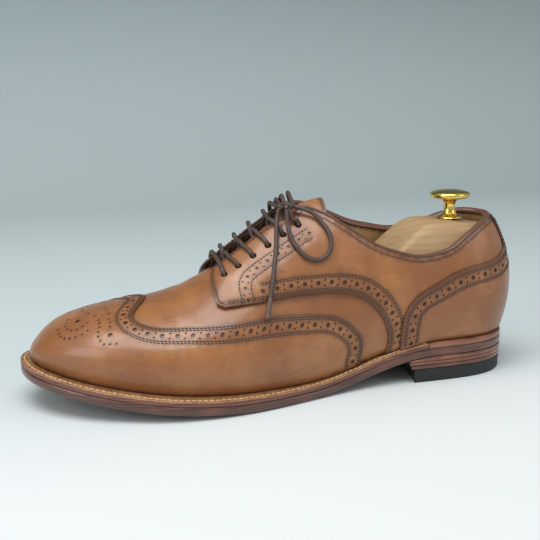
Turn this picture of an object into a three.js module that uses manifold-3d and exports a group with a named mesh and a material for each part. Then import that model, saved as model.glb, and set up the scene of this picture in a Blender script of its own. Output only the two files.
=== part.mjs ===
// Leather open-laced brogue shoe on its cedar shoe tree, as separate pieces.
// Millimetres, +Z up, toe towards -X, outer (lateral) side towards -Y.
// "s" is the distance forward from the heel back; x = HALF - s.
import * as THREE from "three";
import { mergeVertices } from "three/addons/utils/BufferGeometryUtils.js";
import Module from "manifold-3d";

const wasm = await Module();
wasm.setup();

// ---- driving dimensions -------------------------------------------------
const LENGTH = 300;            // sole length
const HALF = LENGTH / 2;
const SOLE = 5.3;              // outsole thickness
const WELT = 3.0;              // welt thickness
const FEATHER = 9.0;           // height of the upper's lower edge over the sole underside
const GAP = 0.3;               // clearance between neighbouring pieces
const TOE_SPRING = 17.85;      // lift of the sole underside at the toe
const HEEL_PITCH = 16.0;       // height of the sole underside over the heel
const HEEL_LENGTH = 71;
const TOP_PIECE = 8.5;         // rubber top piece thickness
const LEATHER = 1.2;           // thickness of one upper layer
const LACE_R = 1.25;
const EYELET_R = 2.65;
// the six eyelets from the front: s and distance off the centre line
const EYELETS = [[182.1, 19.8], [173.7, 19.6], [164.8, 19], [155.9, 18.2], [146.8, 16.8], [137.5, 15.4]];
const FACING_Y = 8;            // half gap between the facings
const TUBE_Z = 47;             // height of the shoe tree's tube
const TUBE_Y = 2;
const TUBE_BACK = 140;         // s of the outer tube's open end
const ROD_R = 4;
const BLOCK_FRONT = 108;       // s of the heel block's front
const FORE_BACK = 178;         // s of the forepart's back
const KNOB_S = 34.5;
const KNOB_TOP = 112.6;
const KNOB_R = 12.3;
const STEP = 8;                // target edge length of the leather meshes

// ---- small maths --------------------------------------------------------
const clamp = (x, a, b) => Math.min(b, Math.max(a, x));
const mix = (a, b, t) => a + (b - a) * t;
const smooth = (x) => {
  const t = clamp(x, 0, 1);
  return t * t * (3 - 2 * t);
};

// natural cubic spline through the given stations
function spline(xs, ys) {
  const n = xs.length;
  const c = new Array(n).fill(0);
  const d = new Array(n).fill(0);
  for (let i = 1; i < n - 1; i++) {
    const a = xs[i] - xs[i - 1];
    const b = xs[i + 1] - xs[i];
    const p = 2 * (a + b) - a * c[i - 1];
    const r = 6 * ((ys[i + 1] - ys[i]) / b - (ys[i] - ys[i - 1]) / a);
    c[i] = b / p;
    d[i] = (r - a * d[i - 1]) / p;
  }
  const m = new Array(n).fill(0);
  for (let i = n - 2; i > 0; i--) m[i] = d[i] - c[i] * m[i + 1];
  return (x) => {
    let i = 0;
    while (i < n - 2 && x > xs[i + 1]) i++;
    const h = xs[i + 1] - xs[i];
    const a = xs[i + 1] - x;
    const b = x - xs[i];
    const cubic = (m[i] * a ** 3 + m[i + 1] * b ** 3) / (6 * h);
    return cubic + (ys[i] / h - m[i] * h / 6) * a + (ys[i + 1] / h - m[i + 1] * h / 6) * b;
  };
}

// ---- the sole's underside and outline -----------------------------------
const bottom = (s) => TOE_SPRING * (Math.max(s - 145, 0) / 155) ** 2 + HEEL_PITCH * smooth((140 - s) / 85);

const SOLE_S = [0, 2, 9, 20, 36, 70, 105, 140, 170, 195, 220, 245, 265, 280, 290, 297, 300];
const SOLE_LAT = [0, 11, 22.3, 30, 33.8, 35.2, 37.5, 46, 54.5, 58, 57, 50.5, 42, 32, 22.4, 10.8, -3];
const SOLE_MED = [0, 11, 22.3, 29.5, 33, 32, 28.5, 34, 42.5, 48.5, 50.5, 48.3, 43.2, 35.6, 27, 16.5, 3];
const soleU = (s) => Math.acos(1 - 2 * s / LENGTH) / Math.PI;
const soleS = (u) => HALF * (1 - Math.cos(Math.PI * u));
const soleLat = spline(SOLE_S.map(soleU), SOLE_LAT);
const soleMed = spline(SOLE_S.map(soleU), SOLE_MED);

// ---- the outer surface of the upper -------------------------------------
const S0 = -1;
const S1 = 294.5;
const LAST = [   // s, lateral half width, medial half width, ridge height, section power
  [-1, 0, 0, 117, 2.0],
  [9, 22.5, 22.5, 117, 2.0],
  [20, 29.8, 29.8, 117, 2.0],
  [40, 33.8, 33.3, 117, 2.0],
  [70, 35.2, 33.8, 117, 1.95],
  [105, 36.5, 33.5, 116, 1.75],
  [120, 38.5, 34.0, 114.5, 1.65],
  [140, 42.5, 35.0, 108, 1.6],
  [160, 47.5, 37.2, 94, 1.65],
  [175, 50.5, 39.8, 82.3, 1.7],
  [195, 52.5, 43.0, 69.2, 1.85],
  [220, 51.0, 45.0, 59.8, 1.95],
  [245, 44.5, 42.5, 54.9, 2.05],
  [265, 35.5, 37.0, 51.0, 2.1],
  [280, 24.8, 28.8, 45.5, 2.1],
  [290, 13.0, 18.0, 37.0, 2.0],
  [294.5, -3.0, 3.0, 29.0, 2.0],
];
const lastU = (s) => Math.acos(clamp(1 - 2 * (s - S0) / (S1 - S0), -1, 1)) / Math.PI;
const lastS = (u) => S0 + (S1 - S0) * (1 - Math.cos(Math.PI * u)) / 2;
const column = (k) => spline(LAST.map((r) => lastU(r[0])), LAST.map((r) => r[k]));
const widthLat = column(1);
const widthMed = column(2);
const ridgeZ = column(3);
const power = column(4);
const centre = spline([-1, 100, 140, 190, 294.5].map(lastU), [0, 1, 3, 3, 3]);
const belly = spline([0, 70, 140, 200, 260, 294.5], [22, 22, 18, 14, 12, 5]);
const heelCurve = spline([25, 45, 59, 75, 98, 117], [0, -3.6, -4.2, -1.6, 8.6, 20]);
const KNEE = 0.22;             // share of the section below the widest line
const TUCK = 2.6;

// side -1 is lateral, +1 medial; v runs 0 at the feather edge to 1 on the ridge
function sectionPoint(side, u, v) {
  const s = lastS(u);
  const zf = bottom(s) + FEATHER;
  const zr = ridgeZ(u);
  const zw = Math.min(zf + belly(s), zr - 0.5);
  const y0 = centre(u);
  const w = Math.max(side < 0 ? widthLat(u) + y0 : widthMed(u) - y0, 0);
  let y = w;
  let z = 0;
  if (v < KNEE) {
    const k = v / KNEE;
    y = w - TUCK * clamp(w / 12, 0, 1) * (1 - k) ** 2;
    z = mix(zf, zw, k);
  } else {
    const th = (v - KNEE) / (1 - KNEE) * Math.PI / 2;
    const e = 2 / power(u);
    y = w * Math.max(Math.cos(th), 0) ** e;
    z = zw + (zr - zw) * Math.sin(th) ** e;
  }
  const shift = heelCurve(z) * clamp(1 - s / 95, 0, 1) ** 1.6;
  return new THREE.Vector3(HALF - s - shift, y0 + side * y, z);
}

// arc-length table of one half section
const SECTION_N = 60;
const sectionCache = new Map();
function section(side, u) {
  const key = side + ":" + u.toFixed(6);
  if (sectionCache.has(key)) return sectionCache.get(key);
  const pts = [];
  for (let i = 0; i <= SECTION_N; i++) pts.push(sectionPoint(side, u, i / SECTION_N));
  const len = [0];
  for (let i = 1; i <= SECTION_N; i++) len.push(len[i - 1] + pts[i].distanceTo(pts[i - 1]));
  const out = { pts, len, girth: len[SECTION_N] };
  sectionCache.set(key, out);
  return out;
}

// distance "a" along the widest line from the heel back, shared by both sides
const RUN_N = 240;
const runA = [0];
for (let i = 1; i <= RUN_N; i++) {
  const step = (k) => {
    const u = k / RUN_N;
    return [lastS(u), (widthLat(u) + widthMed(u)) / 2];
  };
  const p = step(i - 1);
  const q = step(i);
  runA.push(runA[i - 1] + Math.hypot(q[0] - p[0], q[1] - p[1]));
}
const A_MAX = runA[RUN_N];
function aOf(u) {
  const x = clamp(u, 0, 1) * RUN_N;
  const i = Math.min(Math.floor(x), RUN_N - 1);
  return mix(runA[i], runA[i + 1], x - i);
}
function uOf(a) {
  let i = 0;
  while (i < RUN_N - 1 && a > runA[i + 1]) i++;
  return clamp((i + (a - runA[i]) / (runA[i + 1] - runA[i])) / RUN_N, 0, 1);
}
const girth = (side, a) => section(side, uOf(a)).girth;

// point of the surface at run a and share q of the girth
function surface(side, a, q) {
  const sec = section(side, uOf(clamp(a, 0, A_MAX)));
  const g = clamp(q, 0, 1) * sec.girth;
  let i = 0;
  while (i < SECTION_N - 1 && g > sec.len[i + 1]) i++;
  const t = (g - sec.len[i]) / Math.max(sec.len[i + 1] - sec.len[i], 1e-9);
  return sec.pts[i].clone().lerp(sec.pts[i + 1], clamp(t, 0, 1));
}
function sideNormal(side, a, q) {
  const da = 1.5;
  const a0 = clamp(a - da, 0, A_MAX - 2 * da);
  const q0 = clamp(q - 0.02, 0, 0.96);
  const along = surface(side, a0 + 2 * da, q).sub(surface(side, a0, q));
  const up = surface(side, a, q0 + 0.04).sub(surface(side, a, q0));
  const n = new THREE.Vector3().crossVectors(along, up).normalize();
  return side < 0 ? n.negate() : n;
}
function normal(side, a, q) {
  const ac = clamp(a, 1.5, A_MAX - 3);
  if (q > 0.985 || a < 0.01 || a > A_MAX - 0.01) {
    const n = sideNormal(-1, ac, q).add(sideNormal(1, ac, q));
    if (a < 0.01) n.y = 0;
    return n.normalize();
  }
  return sideNormal(side, ac, q);
}
const offset = (side, a, q, t) => surface(side, a, q).addScaledVector(normal(side, a, q), t);

// pattern point from a distance forward and a height, or a distance off the centre line
function runAt(s, z) {
  let base = s;
  for (let i = 0; i < 12; i++) base = s - heelCurve(z) * clamp(1 - base / 95, 0, 1) ** 1.6;
  return aOf(lastU(base));
}
function mark(side, s, z) {
  const a = runAt(s, z);
  let lo = 0;
  let hi = 1;
  for (let i = 0; i < 30; i++) {
    const q = (lo + hi) / 2;
    if (surface(side, a, q).z < z) lo = q;
    else hi = q;
  }
  return [a, lo * girth(side, a)];
}
function beside(side, s, y) {
  const a = aOf(lastU(s));
  let lo = 0.3;
  let hi = 1;
  for (let i = 0; i < 30; i++) {
    const q = (lo + hi) / 2;
    if (Math.abs(surface(side, a, q).y) > y) lo = q;
    else hi = q;
  }
  return [a, lo * girth(side, a)];
}
// pattern point at the heel end from a distance off the centre line and a height
function rear(side, y, z) {
  let lo = 0;
  let hi = 70;
  const at = (a) => {
    const sec = section(side, uOf(a));
    const i = sec.pts.findIndex((p) => p.z > z);
    const t = (z - sec.pts[i - 1].z) / (sec.pts[i].z - sec.pts[i - 1].z);
    return { y: Math.abs(mix(sec.pts[i - 1].y, sec.pts[i].y, t)), g: mix(sec.len[i - 1], sec.len[i], t) };
  };
  for (let i = 0; i < 30; i++) {
    const a = (lo + hi) / 2;
    if (at(a).y < y) lo = a;
    else hi = a;
  }
  return [lo, at(lo).g];
}
const foot = (side, s) => [aOf(lastU(s)), 0];
const ridge = (side, s) => {
  const a = aOf(lastU(s));
  return [a, girth(side, a)];
};

// ---- flat patterns ------------------------------------------------------
// smooth open curve through pattern points, resampled at about the given step
function flow(points, step = STEP) {
  if (points.length === 2) return straight(points[0], points[1], step);
  const curve = new THREE.CatmullRomCurve3(points.map((p) => new THREE.Vector3(p[0], p[1], 0)), false, "centripetal");
  const n = Math.max(2, Math.round(curve.getLength() / step));
  return curve.getSpacedPoints(n).map((p) => [p.x, p.y]);
}
function straight(p, q, step = STEP) {
  const n = Math.max(1, Math.round(Math.hypot(q[0] - p[0], q[1] - p[1]) / step));
  const out = [];
  for (let i = 0; i <= n; i++) out.push([mix(p[0], q[0], i / n), mix(p[1], q[1], i / n)]);
  return out;
}
// stretches of the ridge or the back seam that both halves sample alike
function alongRidge(side, s0, s1, step = STEP) {
  const a0 = aOf(lastU(s0));
  const a1 = aOf(lastU(s1));
  const n = Math.max(1, Math.round(Math.abs(a1 - a0) / step));
  const out = [];
  for (let i = 0; i <= n; i++) {
    const a = mix(a0, a1, i / n);
    out.push([a, girth(side, a)]);
  }
  return out;
}
function alongFoot(s0, s1, step = STEP) {
  return straight([aOf(lastU(s0)), 0], [aOf(lastU(s1)), 0], step);
}
const chain = (...parts) => {
  const out = [];
  for (const part of parts) {
    for (const p of part) {
      const l = out[out.length - 1];
      if (!l || Math.hypot(p[0] - l[0], p[1] - l[1]) > 0.05) out.push(p);
    }
  }
  const f = out[0];
  const l = out[out.length - 1];
  if (Math.hypot(f[0] - l[0], f[1] - l[1]) < 0.05) out.pop();
  return out;
};
const round = (c, r, n = 8) => {
  const out = [];
  for (let i = 0; i < n; i++) {
    out.push([c[0] + r * Math.cos(i * 2 * Math.PI / n), c[1] + r * Math.sin(i * 2 * Math.PI / n)]);
  }
  return out;
};

function inside(p, loop) {
  let c = false;
  for (let i = 0, j = loop.length - 1; i < loop.length; j = i++) {
    const a = loop[i];
    const b = loop[j];
    if ((a[1] > p[1]) !== (b[1] > p[1]) && p[0] < (b[0] - a[0]) * (p[1] - a[1]) / (b[1] - a[1]) + a[0]) c = !c;
  }
  return c;
}
function clearance(p, loop) {
  let best = Infinity;
  for (let i = 0, j = loop.length - 1; i < loop.length; j = i++) {
    const a = loop[j];
    const b = loop[i];
    const dx = b[0] - a[0];
    const dy = b[1] - a[1];
    const t = clamp(((p[0] - a[0]) * dx + (p[1] - a[1]) * dy) / (dx * dx + dy * dy), 0, 1);
    best = Math.min(best, Math.hypot(p[0] - a[0] - t * dx, p[1] - a[1] - t * dy));
  }
  return best;
}

// Delaunay triangles of a point set
function delaunay(points) {
  const n = points.length;
  const pts = points.concat([[-4000, -4000], [8000, -4000], [0, 9000]]);
  const circle = (i, j, k) => {
    const [ax, ay] = pts[i];
    const bx = pts[j][0] - ax;
    const by = pts[j][1] - ay;
    const cx = pts[k][0] - ax;
    const cy = pts[k][1] - ay;
    const d = 2 * (bx * cy - by * cx);
    const x = (cy * (bx * bx + by * by) - by * (cx * cx + cy * cy)) / d;
    const y = (bx * (cx * cx + cy * cy) - cx * (bx * bx + by * by)) / d;
    return { t: d > 0 ? [i, j, k] : [i, k, j], x: ax + x, y: ay + y, r: x * x + y * y };
  };
  let tris = [circle(n, n + 1, n + 2)];
  for (let i = 0; i < n; i++) {
    const [px, py] = pts[i];
    const keep = [];
    const edges = new Map();
    for (const c of tris) {
      if ((px - c.x) ** 2 + (py - c.y) ** 2 > c.r * (1 + 1e-10)) {
        keep.push(c);
        continue;
      }
      for (let e = 0; e < 3; e++) {
        const a = c.t[e];
        const b = c.t[(e + 1) % 3];
        if (edges.has(b + "_" + a)) edges.delete(b + "_" + a);
        else edges.set(a + "_" + b, [a, b]);
      }
    }
    for (const [a, b] of edges.values()) keep.push(circle(a, b, i));
    tris = keep;
  }
  return tris.map((c) => c.t).filter((t) => Math.max(...t) < n);
}

// fill one half pattern with points and triangles
function fill(loop, holes, step) {
  const points = loop.concat(...holes);
  const xs = loop.map((p) => p[0]);
  const ys = loop.map((p) => p[1]);
  const rise = step * 0.866;
  let row = 0;
  for (let y = Math.min(...ys) + rise; y < Math.max(...ys); y += rise) {
    row++;
    for (let x = Math.min(...xs) + (row % 2) * step / 2; x < Math.max(...xs); x += step) {
      const p = [x + 0.013 * row, y];
      if (!inside(p, loop) || clearance(p, loop) < step * 0.55) continue;
      if (holes.some((h) => inside(p, h) || clearance(p, h) < step * 0.3)) continue;
      points.push(p);
    }
  }
  const mid = (t) => [0, 1].map((k) => (points[t[0]][k] + points[t[1]][k] + points[t[2]][k]) / 3);
  const tris = delaunay(points).filter((t) => {
    const m = mid(t);
    return inside(m, loop) && !holes.some((h) => inside(m, h));
  });
  return { points, tris };
}

// closed solid from half patterns: [{side, loop, holes}], between two offset functions
function panel(halves, under, over, step = STEP) {
  const low = [];
  const high = [];
  const faces = [];
  const index = new Map();
  for (const { side, loop, holes = [] } of halves) {
    const { points, tris } = fill(loop, holes, step);
    const ids = points.map(([a, g]) => {
      const q = clamp(g / girth(side, a), 0, 1);
      const p = surface(side, a, q);
      const key = [p.x, p.y, p.z].map((v) => Math.round(v * 50)).join("_");
      if (!index.has(key)) {
        index.set(key, low.length);
        const n = normal(side, a, q);
        low.push(p.clone().addScaledVector(n, under(p)));
        high.push(p.clone().addScaledVector(n, over(p)));
      }
      return index.get(key);
    });
    for (const t of tris) {
      const f = side < 0 ? [ids[t[0]], ids[t[1]], ids[t[2]]] : [ids[t[0]], ids[t[2]], ids[t[1]]];
      if (new Set(f).size === 3) faces.push(f);
    }
  }
  return shellOf(low, high, faces);
}
function shellOf(low, high, faces) {
  const n = low.length;
  const idx = [];
  const rim = new Map();
  for (const [a, b, c] of faces) {
    idx.push(a + n, b + n, c + n, a, c, b);
    for (const [p, q] of [[a, b], [b, c], [c, a]]) {
      if (rim.has(q + "_" + p)) rim.delete(q + "_" + p);
      else rim.set(p + "_" + q, [p, q]);
    }
  }
  for (const [p, q] of rim.values()) idx.push(p, q, q + n, p, q + n, p + n);
  return solid(low.concat(high), idx);
}
function solid(points, idx) {
  const g = new THREE.BufferGeometry();
  g.setAttribute("position", new THREE.Float32BufferAttribute(points.flatMap((p) => [p.x, p.y, p.z]), 3));
  g.setIndex(idx);
  return tidy(g);
}
// weld, drop collapsed triangles and face the mesh outwards
function tidy(geometry) {
  const plain = new THREE.BufferGeometry();
  plain.setAttribute("position", geometry.getAttribute("position"));
  plain.setIndex(geometry.getIndex());
  const g = mergeVertices(plain, 1e-3);
  const src = g.getIndex().array;
  const p = g.getAttribute("position");
  const idx = [];
  let volume = 0;
  const v = [0, 1, 2].map(() => new THREE.Vector3());
  for (let i = 0; i < src.length; i += 3) {
    const t = [src[i], src[i + 1], src[i + 2]];
    if (new Set(t).size < 3) continue;
    t.forEach((k, j) => v[j].fromBufferAttribute(p, k));
    volume += v[0].dot(new THREE.Vector3().crossVectors(v[1], v[2]));
    idx.push(...t);
  }
  if (volume < 0) {
    for (let i = 0; i < idx.length; i += 3) [idx[i + 1], idx[i + 2]] = [idx[i + 2], idx[i + 1]];
  }
  g.setIndex(idx);
  return g;
}

// loft through rings of equal length, ends filled by a fan
function loft(rings) {
  const n = rings[0].length;
  const points = rings.flat();
  const idx = [];
  for (let r = 0; r + 1 < rings.length; r++) {
    for (let i = 0; i < n; i++) {
      const j = (i + 1) % n;
      const a = r * n + i;
      const b = r * n + j;
      idx.push(a, b, b + n, a, b + n, a + n);
    }
  }
  for (const [ring, flip] of [[0, 0], [rings.length - 1, 1]]) {
    const mid = new THREE.Vector3();
    rings[ring].forEach((p) => mid.addScaledVector(p, 1 / n));
    points.push(mid);
    for (let i = 0; i < n; i++) {
      const a = ring * n + i;
      const b = ring * n + (i + 1) % n;
      if (flip) idx.push(a, b, points.length - 1);
      else idx.push(b, a, points.length - 1);
    }
  }
  return solid(points, idx);
}

// round bar along a smooth path, closed at both ends or into a loop
function tube(path, r, sides = 8, step = 4, closed = false) {
  const curve = new THREE.CatmullRomCurve3(path, closed, "centripetal");
  const shape = new THREE.Shape();
  for (let i = 0; i <= sides; i++) {
    const t = i * 2 * Math.PI / sides;
    if (i === 0) shape.moveTo(r, 0);
    else shape.lineTo(r * Math.cos(t), r * Math.sin(t));
  }
  const steps = Math.max(4, Math.round(curve.getLength() / step));
  const g = new THREE.ExtrudeGeometry(shape, { steps, extrudePath: curve, curveSegments: 1, bevelEnabled: false });
  return tidy(mergeVertices(g.deleteAttribute("normal").deleteAttribute("uv"), 1e-3));
}
function turned(profile, x, y, segments = 20) {
  const g = new THREE.LatheGeometry(profile.map((p) => new THREE.Vector2(p[0], p[1])), segments);
  g.rotateX(Math.PI / 2);
  g.translate(x, y, 0);
  return tidy(g.deleteAttribute("normal").deleteAttribute("uv"));
}
function box(x0, x1, y0, y1, z0, z1) {
  const g = new THREE.BoxGeometry(x1 - x0, y1 - y0, z1 - z0);
  g.translate((x0 + x1) / 2, (y0 + y1) / 2, (z0 + z1) / 2);
  return tidy(g.deleteAttribute("normal").deleteAttribute("uv"));
}
function rod(x0, x1, y, z, r, sides = 20) {
  const g = new THREE.CylinderGeometry(r, r, x1 - x0, sides);
  g.rotateZ(Math.PI / 2);
  g.translate((x0 + x1) / 2, y, z);
  return tidy(g.deleteAttribute("normal").deleteAttribute("uv"));
}
function crossRod(y0, y1, x, z, r, sides = 16) {
  const g = new THREE.CylinderGeometry(r, r, y1 - y0, sides);
  g.translate(x, (y0 + y1) / 2, z);
  return tidy(g.deleteAttribute("normal").deleteAttribute("uv"));
}

// ---- booleans -----------------------------------------------------------
function asManifold(g) {
  const mesh = new wasm.Mesh({
    numProp: 3,
    vertProperties: new Float32Array(g.getAttribute("position").array),
    triVerts: new Uint32Array(g.getIndex().array),
  });
  return new wasm.Manifold(mesh);
}
function fromManifold(m) {
  const mesh = m.getMesh();
  const g = new THREE.BufferGeometry();
  g.setAttribute("position", new THREE.Float32BufferAttribute(new Float32Array(mesh.vertProperties), 3));
  g.setIndex(Array.from(mesh.triVerts));
  return tidy(g);
}
const cut = (g, ...tools) => fromManifold(tools.reduce((m, t) => m.subtract(asManifold(t)), asManifold(g)));
const join = (g, ...more) => fromManifold(more.reduce((m, t) => m.add(asManifold(t)), asManifold(g)));

// ---- sole and heel ------------------------------------------------------
// slab following the sole, inset from its outline, between two height functions
function slab(s0, s1, inset, z0, z1, n, soften = 0) {
  const rings = [];
  for (let i = 0; i <= n; i++) {
    const u = mix(soleU(s0), soleU(s1), i / n);
    const s = soleS(u);
    const end = inset * Math.cos(Math.PI * u);
    const x = HALF - s - end;
    const lat = Math.max(soleLat(u) - inset * Math.sin(Math.PI * u) ** 0.5, 0);
    const med = Math.max(soleMed(u) - inset * Math.sin(Math.PI * u) ** 0.5, 0);
    const lo = z0(s + end);
    const hi = z1(s + end);
    const r = Math.min(soften, lat / 3, med / 3);
    rings.push([
      [-lat + r, lo], [-lat, lo + r], [-lat, hi - r], [-lat + r, hi],
      [med - r, hi], [med, hi - r], [med, lo + r], [med - r, lo],
    ].map(([y, z]) => new THREE.Vector3(x, y, z)));
  }
  return loft(rings);
}
const over = (t) => (s) => bottom(s) + t;

function outsole() {
  return slab(0, LENGTH, 0, over(0), over(SOLE), 34, 0.7);
}
// outline point of the sole moved out by d; w runs 0 heel back, 1 toe along the lateral side,
// on to 2 along the medial side, and below 0 back round the medial heel
function outline(w, d) {
  const at = (k) => {
    const u = k < 0 ? -k : Math.min(k, 2 - k);
    return [HALF - soleS(u), k >= 0 && k <= 1 ? -soleLat(u) : soleMed(u)];
  };
  const p = at(w);
  const a = at(w - 0.004);
  const b = at(w + 0.004);
  const l = Math.hypot(b[0] - a[0], b[1] - a[1]);
  return [p[0] + d * (a[1] - b[1]) / l, p[1] + d * (b[0] - a[0]) / l];
}
function strip(w0, w1, n, outer, inner, z0, z1) {
  const rings = [];
  for (let i = 0; i <= n; i++) {
    const w = mix(w0, w1, i / n);
    const [xo, yo] = outline(w, -outer);
    const [xi, yi] = outline(w, -inner);
    const zo = bottom(HALF - xo);
    const zi = bottom(HALF - xi);
    rings.push([
      new THREE.Vector3(xo, yo, zo + z0),
      new THREE.Vector3(xi, yi, zi + z0),
      new THREE.Vector3(xi, yi, zi + z1),
      new THREE.Vector3(xo, yo, zo + z1),
    ]);
  }
  return loft(rings);
}
const WELT_END = 62;
function welt() {
  const w = soleU(WELT_END);
  return strip(w, 2 - w, 64, 0.2, 9, SOLE + GAP, SOLE + GAP + WELT);
}
// seat strip round the back of the heel
function heelRand() {
  const w = soleU(WELT_END - 0.6);
  return strip(-w, w, 26, 0.2, 9, SOLE + GAP, SOLE + GAP + WELT);
}
const corkFiller = () => slab(140, 288, 10.2, over(SOLE + GAP), over(SOLE + WELT - 0.1), 22);
// slab inside the upper's lower edge
function floorSlab(s0, s1, inset, z0, z1, n) {
  const rings = [];
  for (let i = 0; i <= n; i++) {
    const u = mix(lastU(s0), lastU(s1), i / n);
    const s = lastS(u);
    const lat = Math.max(widthLat(u) - inset, 1);
    const med = Math.max(widthMed(u) - inset, 1);
    rings.push([[-lat, z0(s)], [-lat, z1(s)], [med, z1(s)], [med, z0(s)]]
      .map(([y, z]) => new THREE.Vector3(HALF - s, y, z)));
  }
  return loft(rings);
}
const insole = () => floorSlab(12, 286, 10, over(SOLE + WELT + 2 * GAP), over(SOLE + WELT + 2 * GAP + 2.4), 26);
const heelSock = () => floorSlab(9, 96, 11, over(11.6), over(12.4), 12);
function shank() {
  const rings = [];
  for (let i = 0; i <= 12; i++) {
    const s = mix(42, 137, i / 12);
    const w = 7 * Math.min(1, 0.6 + i / 6, 0.6 + (12 - i) / 6);
    const z = bottom(s) + SOLE + 0.8;
    const x = HALF - s;
    rings.push([[-w, 0], [w, 0], [w * 0.8, 1.3], [-w * 0.8, 1.3]].map(([y, h]) => new THREE.Vector3(x, y, z + h)));
  }
  return loft(rings);
}
// one layer of the heel: z0..z1, tapering with height, breast slightly hollow
function heelLayer(z0, z1, front) {
  const rings = [];
  for (const f of [z0, z1]) {
    const ring = [];
    const k = 0.955 + 0.045 * clamp(f(40) / HEEL_PITCH, 0, 1);
    const uEnd = soleU(front(f(40)));
    for (let i = -22; i <= 22; i++) {
      const u = uEnd * Math.abs(i) / 22;
      const s = soleS(u);
      const y = (i < 0 ? -soleLat(u) : soleMed(u)) * k;
      ring.push(new THREE.Vector3(HALF - 0.6 * (1 - k) * 20 - s, y, f(s)));
    }
    for (const t of [0.75, 0.5, 0.25, 0, -0.25, -0.5, -0.75]) {
      const s = front(f(40)) - 4 * (1 - t * t);
      ring.push(new THREE.Vector3(HALF - 0.6 * (1 - k) * 20 - s, t * (t > 0 ? soleMed : soleLat)(uEnd) * k, f(s)));
    }
    rings.push(ring);
  }
  return loft(rings);
}
const breast = (z) => HEEL_LENGTH + 4 - 0.45 * (HEEL_PITCH - z);
const flat = (z) => () => z;
const topPiece = () => heelLayer(flat(0), flat(TOP_PIECE), breast);
const lift1 = () => heelLayer(flat(TOP_PIECE + GAP), flat(10.9), breast);
const lift2 = () => heelLayer(flat(10.9 + GAP), flat(13.2), breast);
const lift3 = () => heelLayer(flat(13.2 + GAP), (s) => Math.max(bottom(s) - GAP, 13.6), breast);

// ---- upper --------------------------------------------------------------
const both = (make) => [-1, 1].map(make);
const constant = (t) => () => t;
const VAMP = -LEATHER - 0.45;
// the facings stand off the tongue; the quarters sink where the counter cover lies on them
const facingLift = (p) => 3.3 * smooth((46 - Math.abs(p.y)) / 24) * smooth((p.x + 60) / 30) * smooth((62 - p.x) / 30);
const backSink = (p) => -1.5 * smooth((p.x - 76) / 22);
const quarterTop = (p) => facingLift(p) + backSink(p);

const wingEdge = (side) => [
  foot(side, 104.8), mark(side, 103.7, 30.9), mark(side, 110.6, 40.7), mark(side, 120.1, 47.1),
  mark(side, 139.3, 50.4), mark(side, 167, 51.1), mark(side, 202.1, 49.4), mark(side, 228.1, 49.7),
  mark(side, 235.8, 52.7), ridge(side, 226.7),
];
const wingHalf = (side) => ({
  side,
  loop: chain(flow(wingEdge(side), 7), alongRidge(side, 226.7, S1, 7), alongFoot(S1, 104.8, 9)),
});
const wingCap = () => panel(both(wingHalf), constant(-LEATHER), constant(0), 9.5);

const vampHalf = (side) => ({
  side,
  loop: chain(
    flow([foot(side, 116), mark(side, 115, 31), mark(side, 123, 38), mark(side, 140, 41.5),
      mark(side, 167, 42.5), mark(side, 202, 41), mark(side, 232, 40), mark(side, 245, 46),
      ridge(side, 238)]),
    alongRidge(side, 238, 187.5),
    flow([ridge(side, 187.5), beside(side, 187.5, 24), mark(side, 183, 69), mark(side, 166, 69.5),
      mark(side, 139, 70.5), mark(side, 119, 69), mark(side, 99, 64), mark(side, 86, 55),
      mark(side, 79, 43), mark(side, 77, 31), foot(side, 78)]),
    alongFoot(78, 116),
  ),
});
const vamp = () => panel(both(vampHalf), constant(VAMP - 1.1), constant(VAMP), 10);

// the topline is cut lower on the outer side, clear of the ankle bone
const toplineEdge = (side) => {
  const rise = side > 0 ? 1 : 0;
  return [
    beside(side, 139.5, FACING_Y + 3), mark(side, 133.4, 105.4), mark(side, 123.2, 102.8 + rise),
    mark(side, 110.1, 95.3 + 3.5 * rise), mark(side, 93.9, 85.6 + 7 * rise), mark(side, 82.4, 81 + 8.5 * rise),
    mark(side, 65.8, 77.2 + 9 * rise), mark(side, 47.2, 80 + 8.5 * rise), mark(side, 34.5, 87.2 + 6.5 * rise),
    mark(side, 20, 94.5 + 3.5 * rise), [0, mark(-1, 8.4, 97.8)[1]],
  ];
};
const seamTop = (side) => mark(side, 27, side > 0 ? 96 : 91)[1] - 1;
const eyelet = (side, s, y) => round(beside(side, s, y), EYELET_R);
function quarterHalf(side) {
  const top = flow(toplineEdge(side));
  return {
    side,
    holes: EYELETS.map(([s, y]) => eyelet(side, s, y)),
    loop: chain(
      flow([foot(side, 89.4), mark(side, 87.6, 28.6), mark(side, 90.3, 39.3), mark(side, 96.1, 48.9),
        mark(side, 105.4, 56.3), mark(side, 119.8, 60), mark(side, 138.7, 60.5), mark(side, 165.9, 58.7),
        mark(side, 186, 56.9)]),
      flow([mark(side, 186, 56.9), mark(side, 190, 58.5), beside(side, 190.5, 30), beside(side, 190, 16),
        beside(side, 187.5, FACING_Y)], 5),
      flow([beside(side, 187.5, FACING_Y), beside(side, 165, FACING_Y), beside(side, 142.5, FACING_Y)], 6),
      flow([beside(side, 142.5, FACING_Y), beside(side, 139.5, FACING_Y + 3)], 4),
      top,
      straight(top[top.length - 1], [0, 0]),
      straight([0, 0], foot(side, 89.4)),
    ),
  };
}
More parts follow.
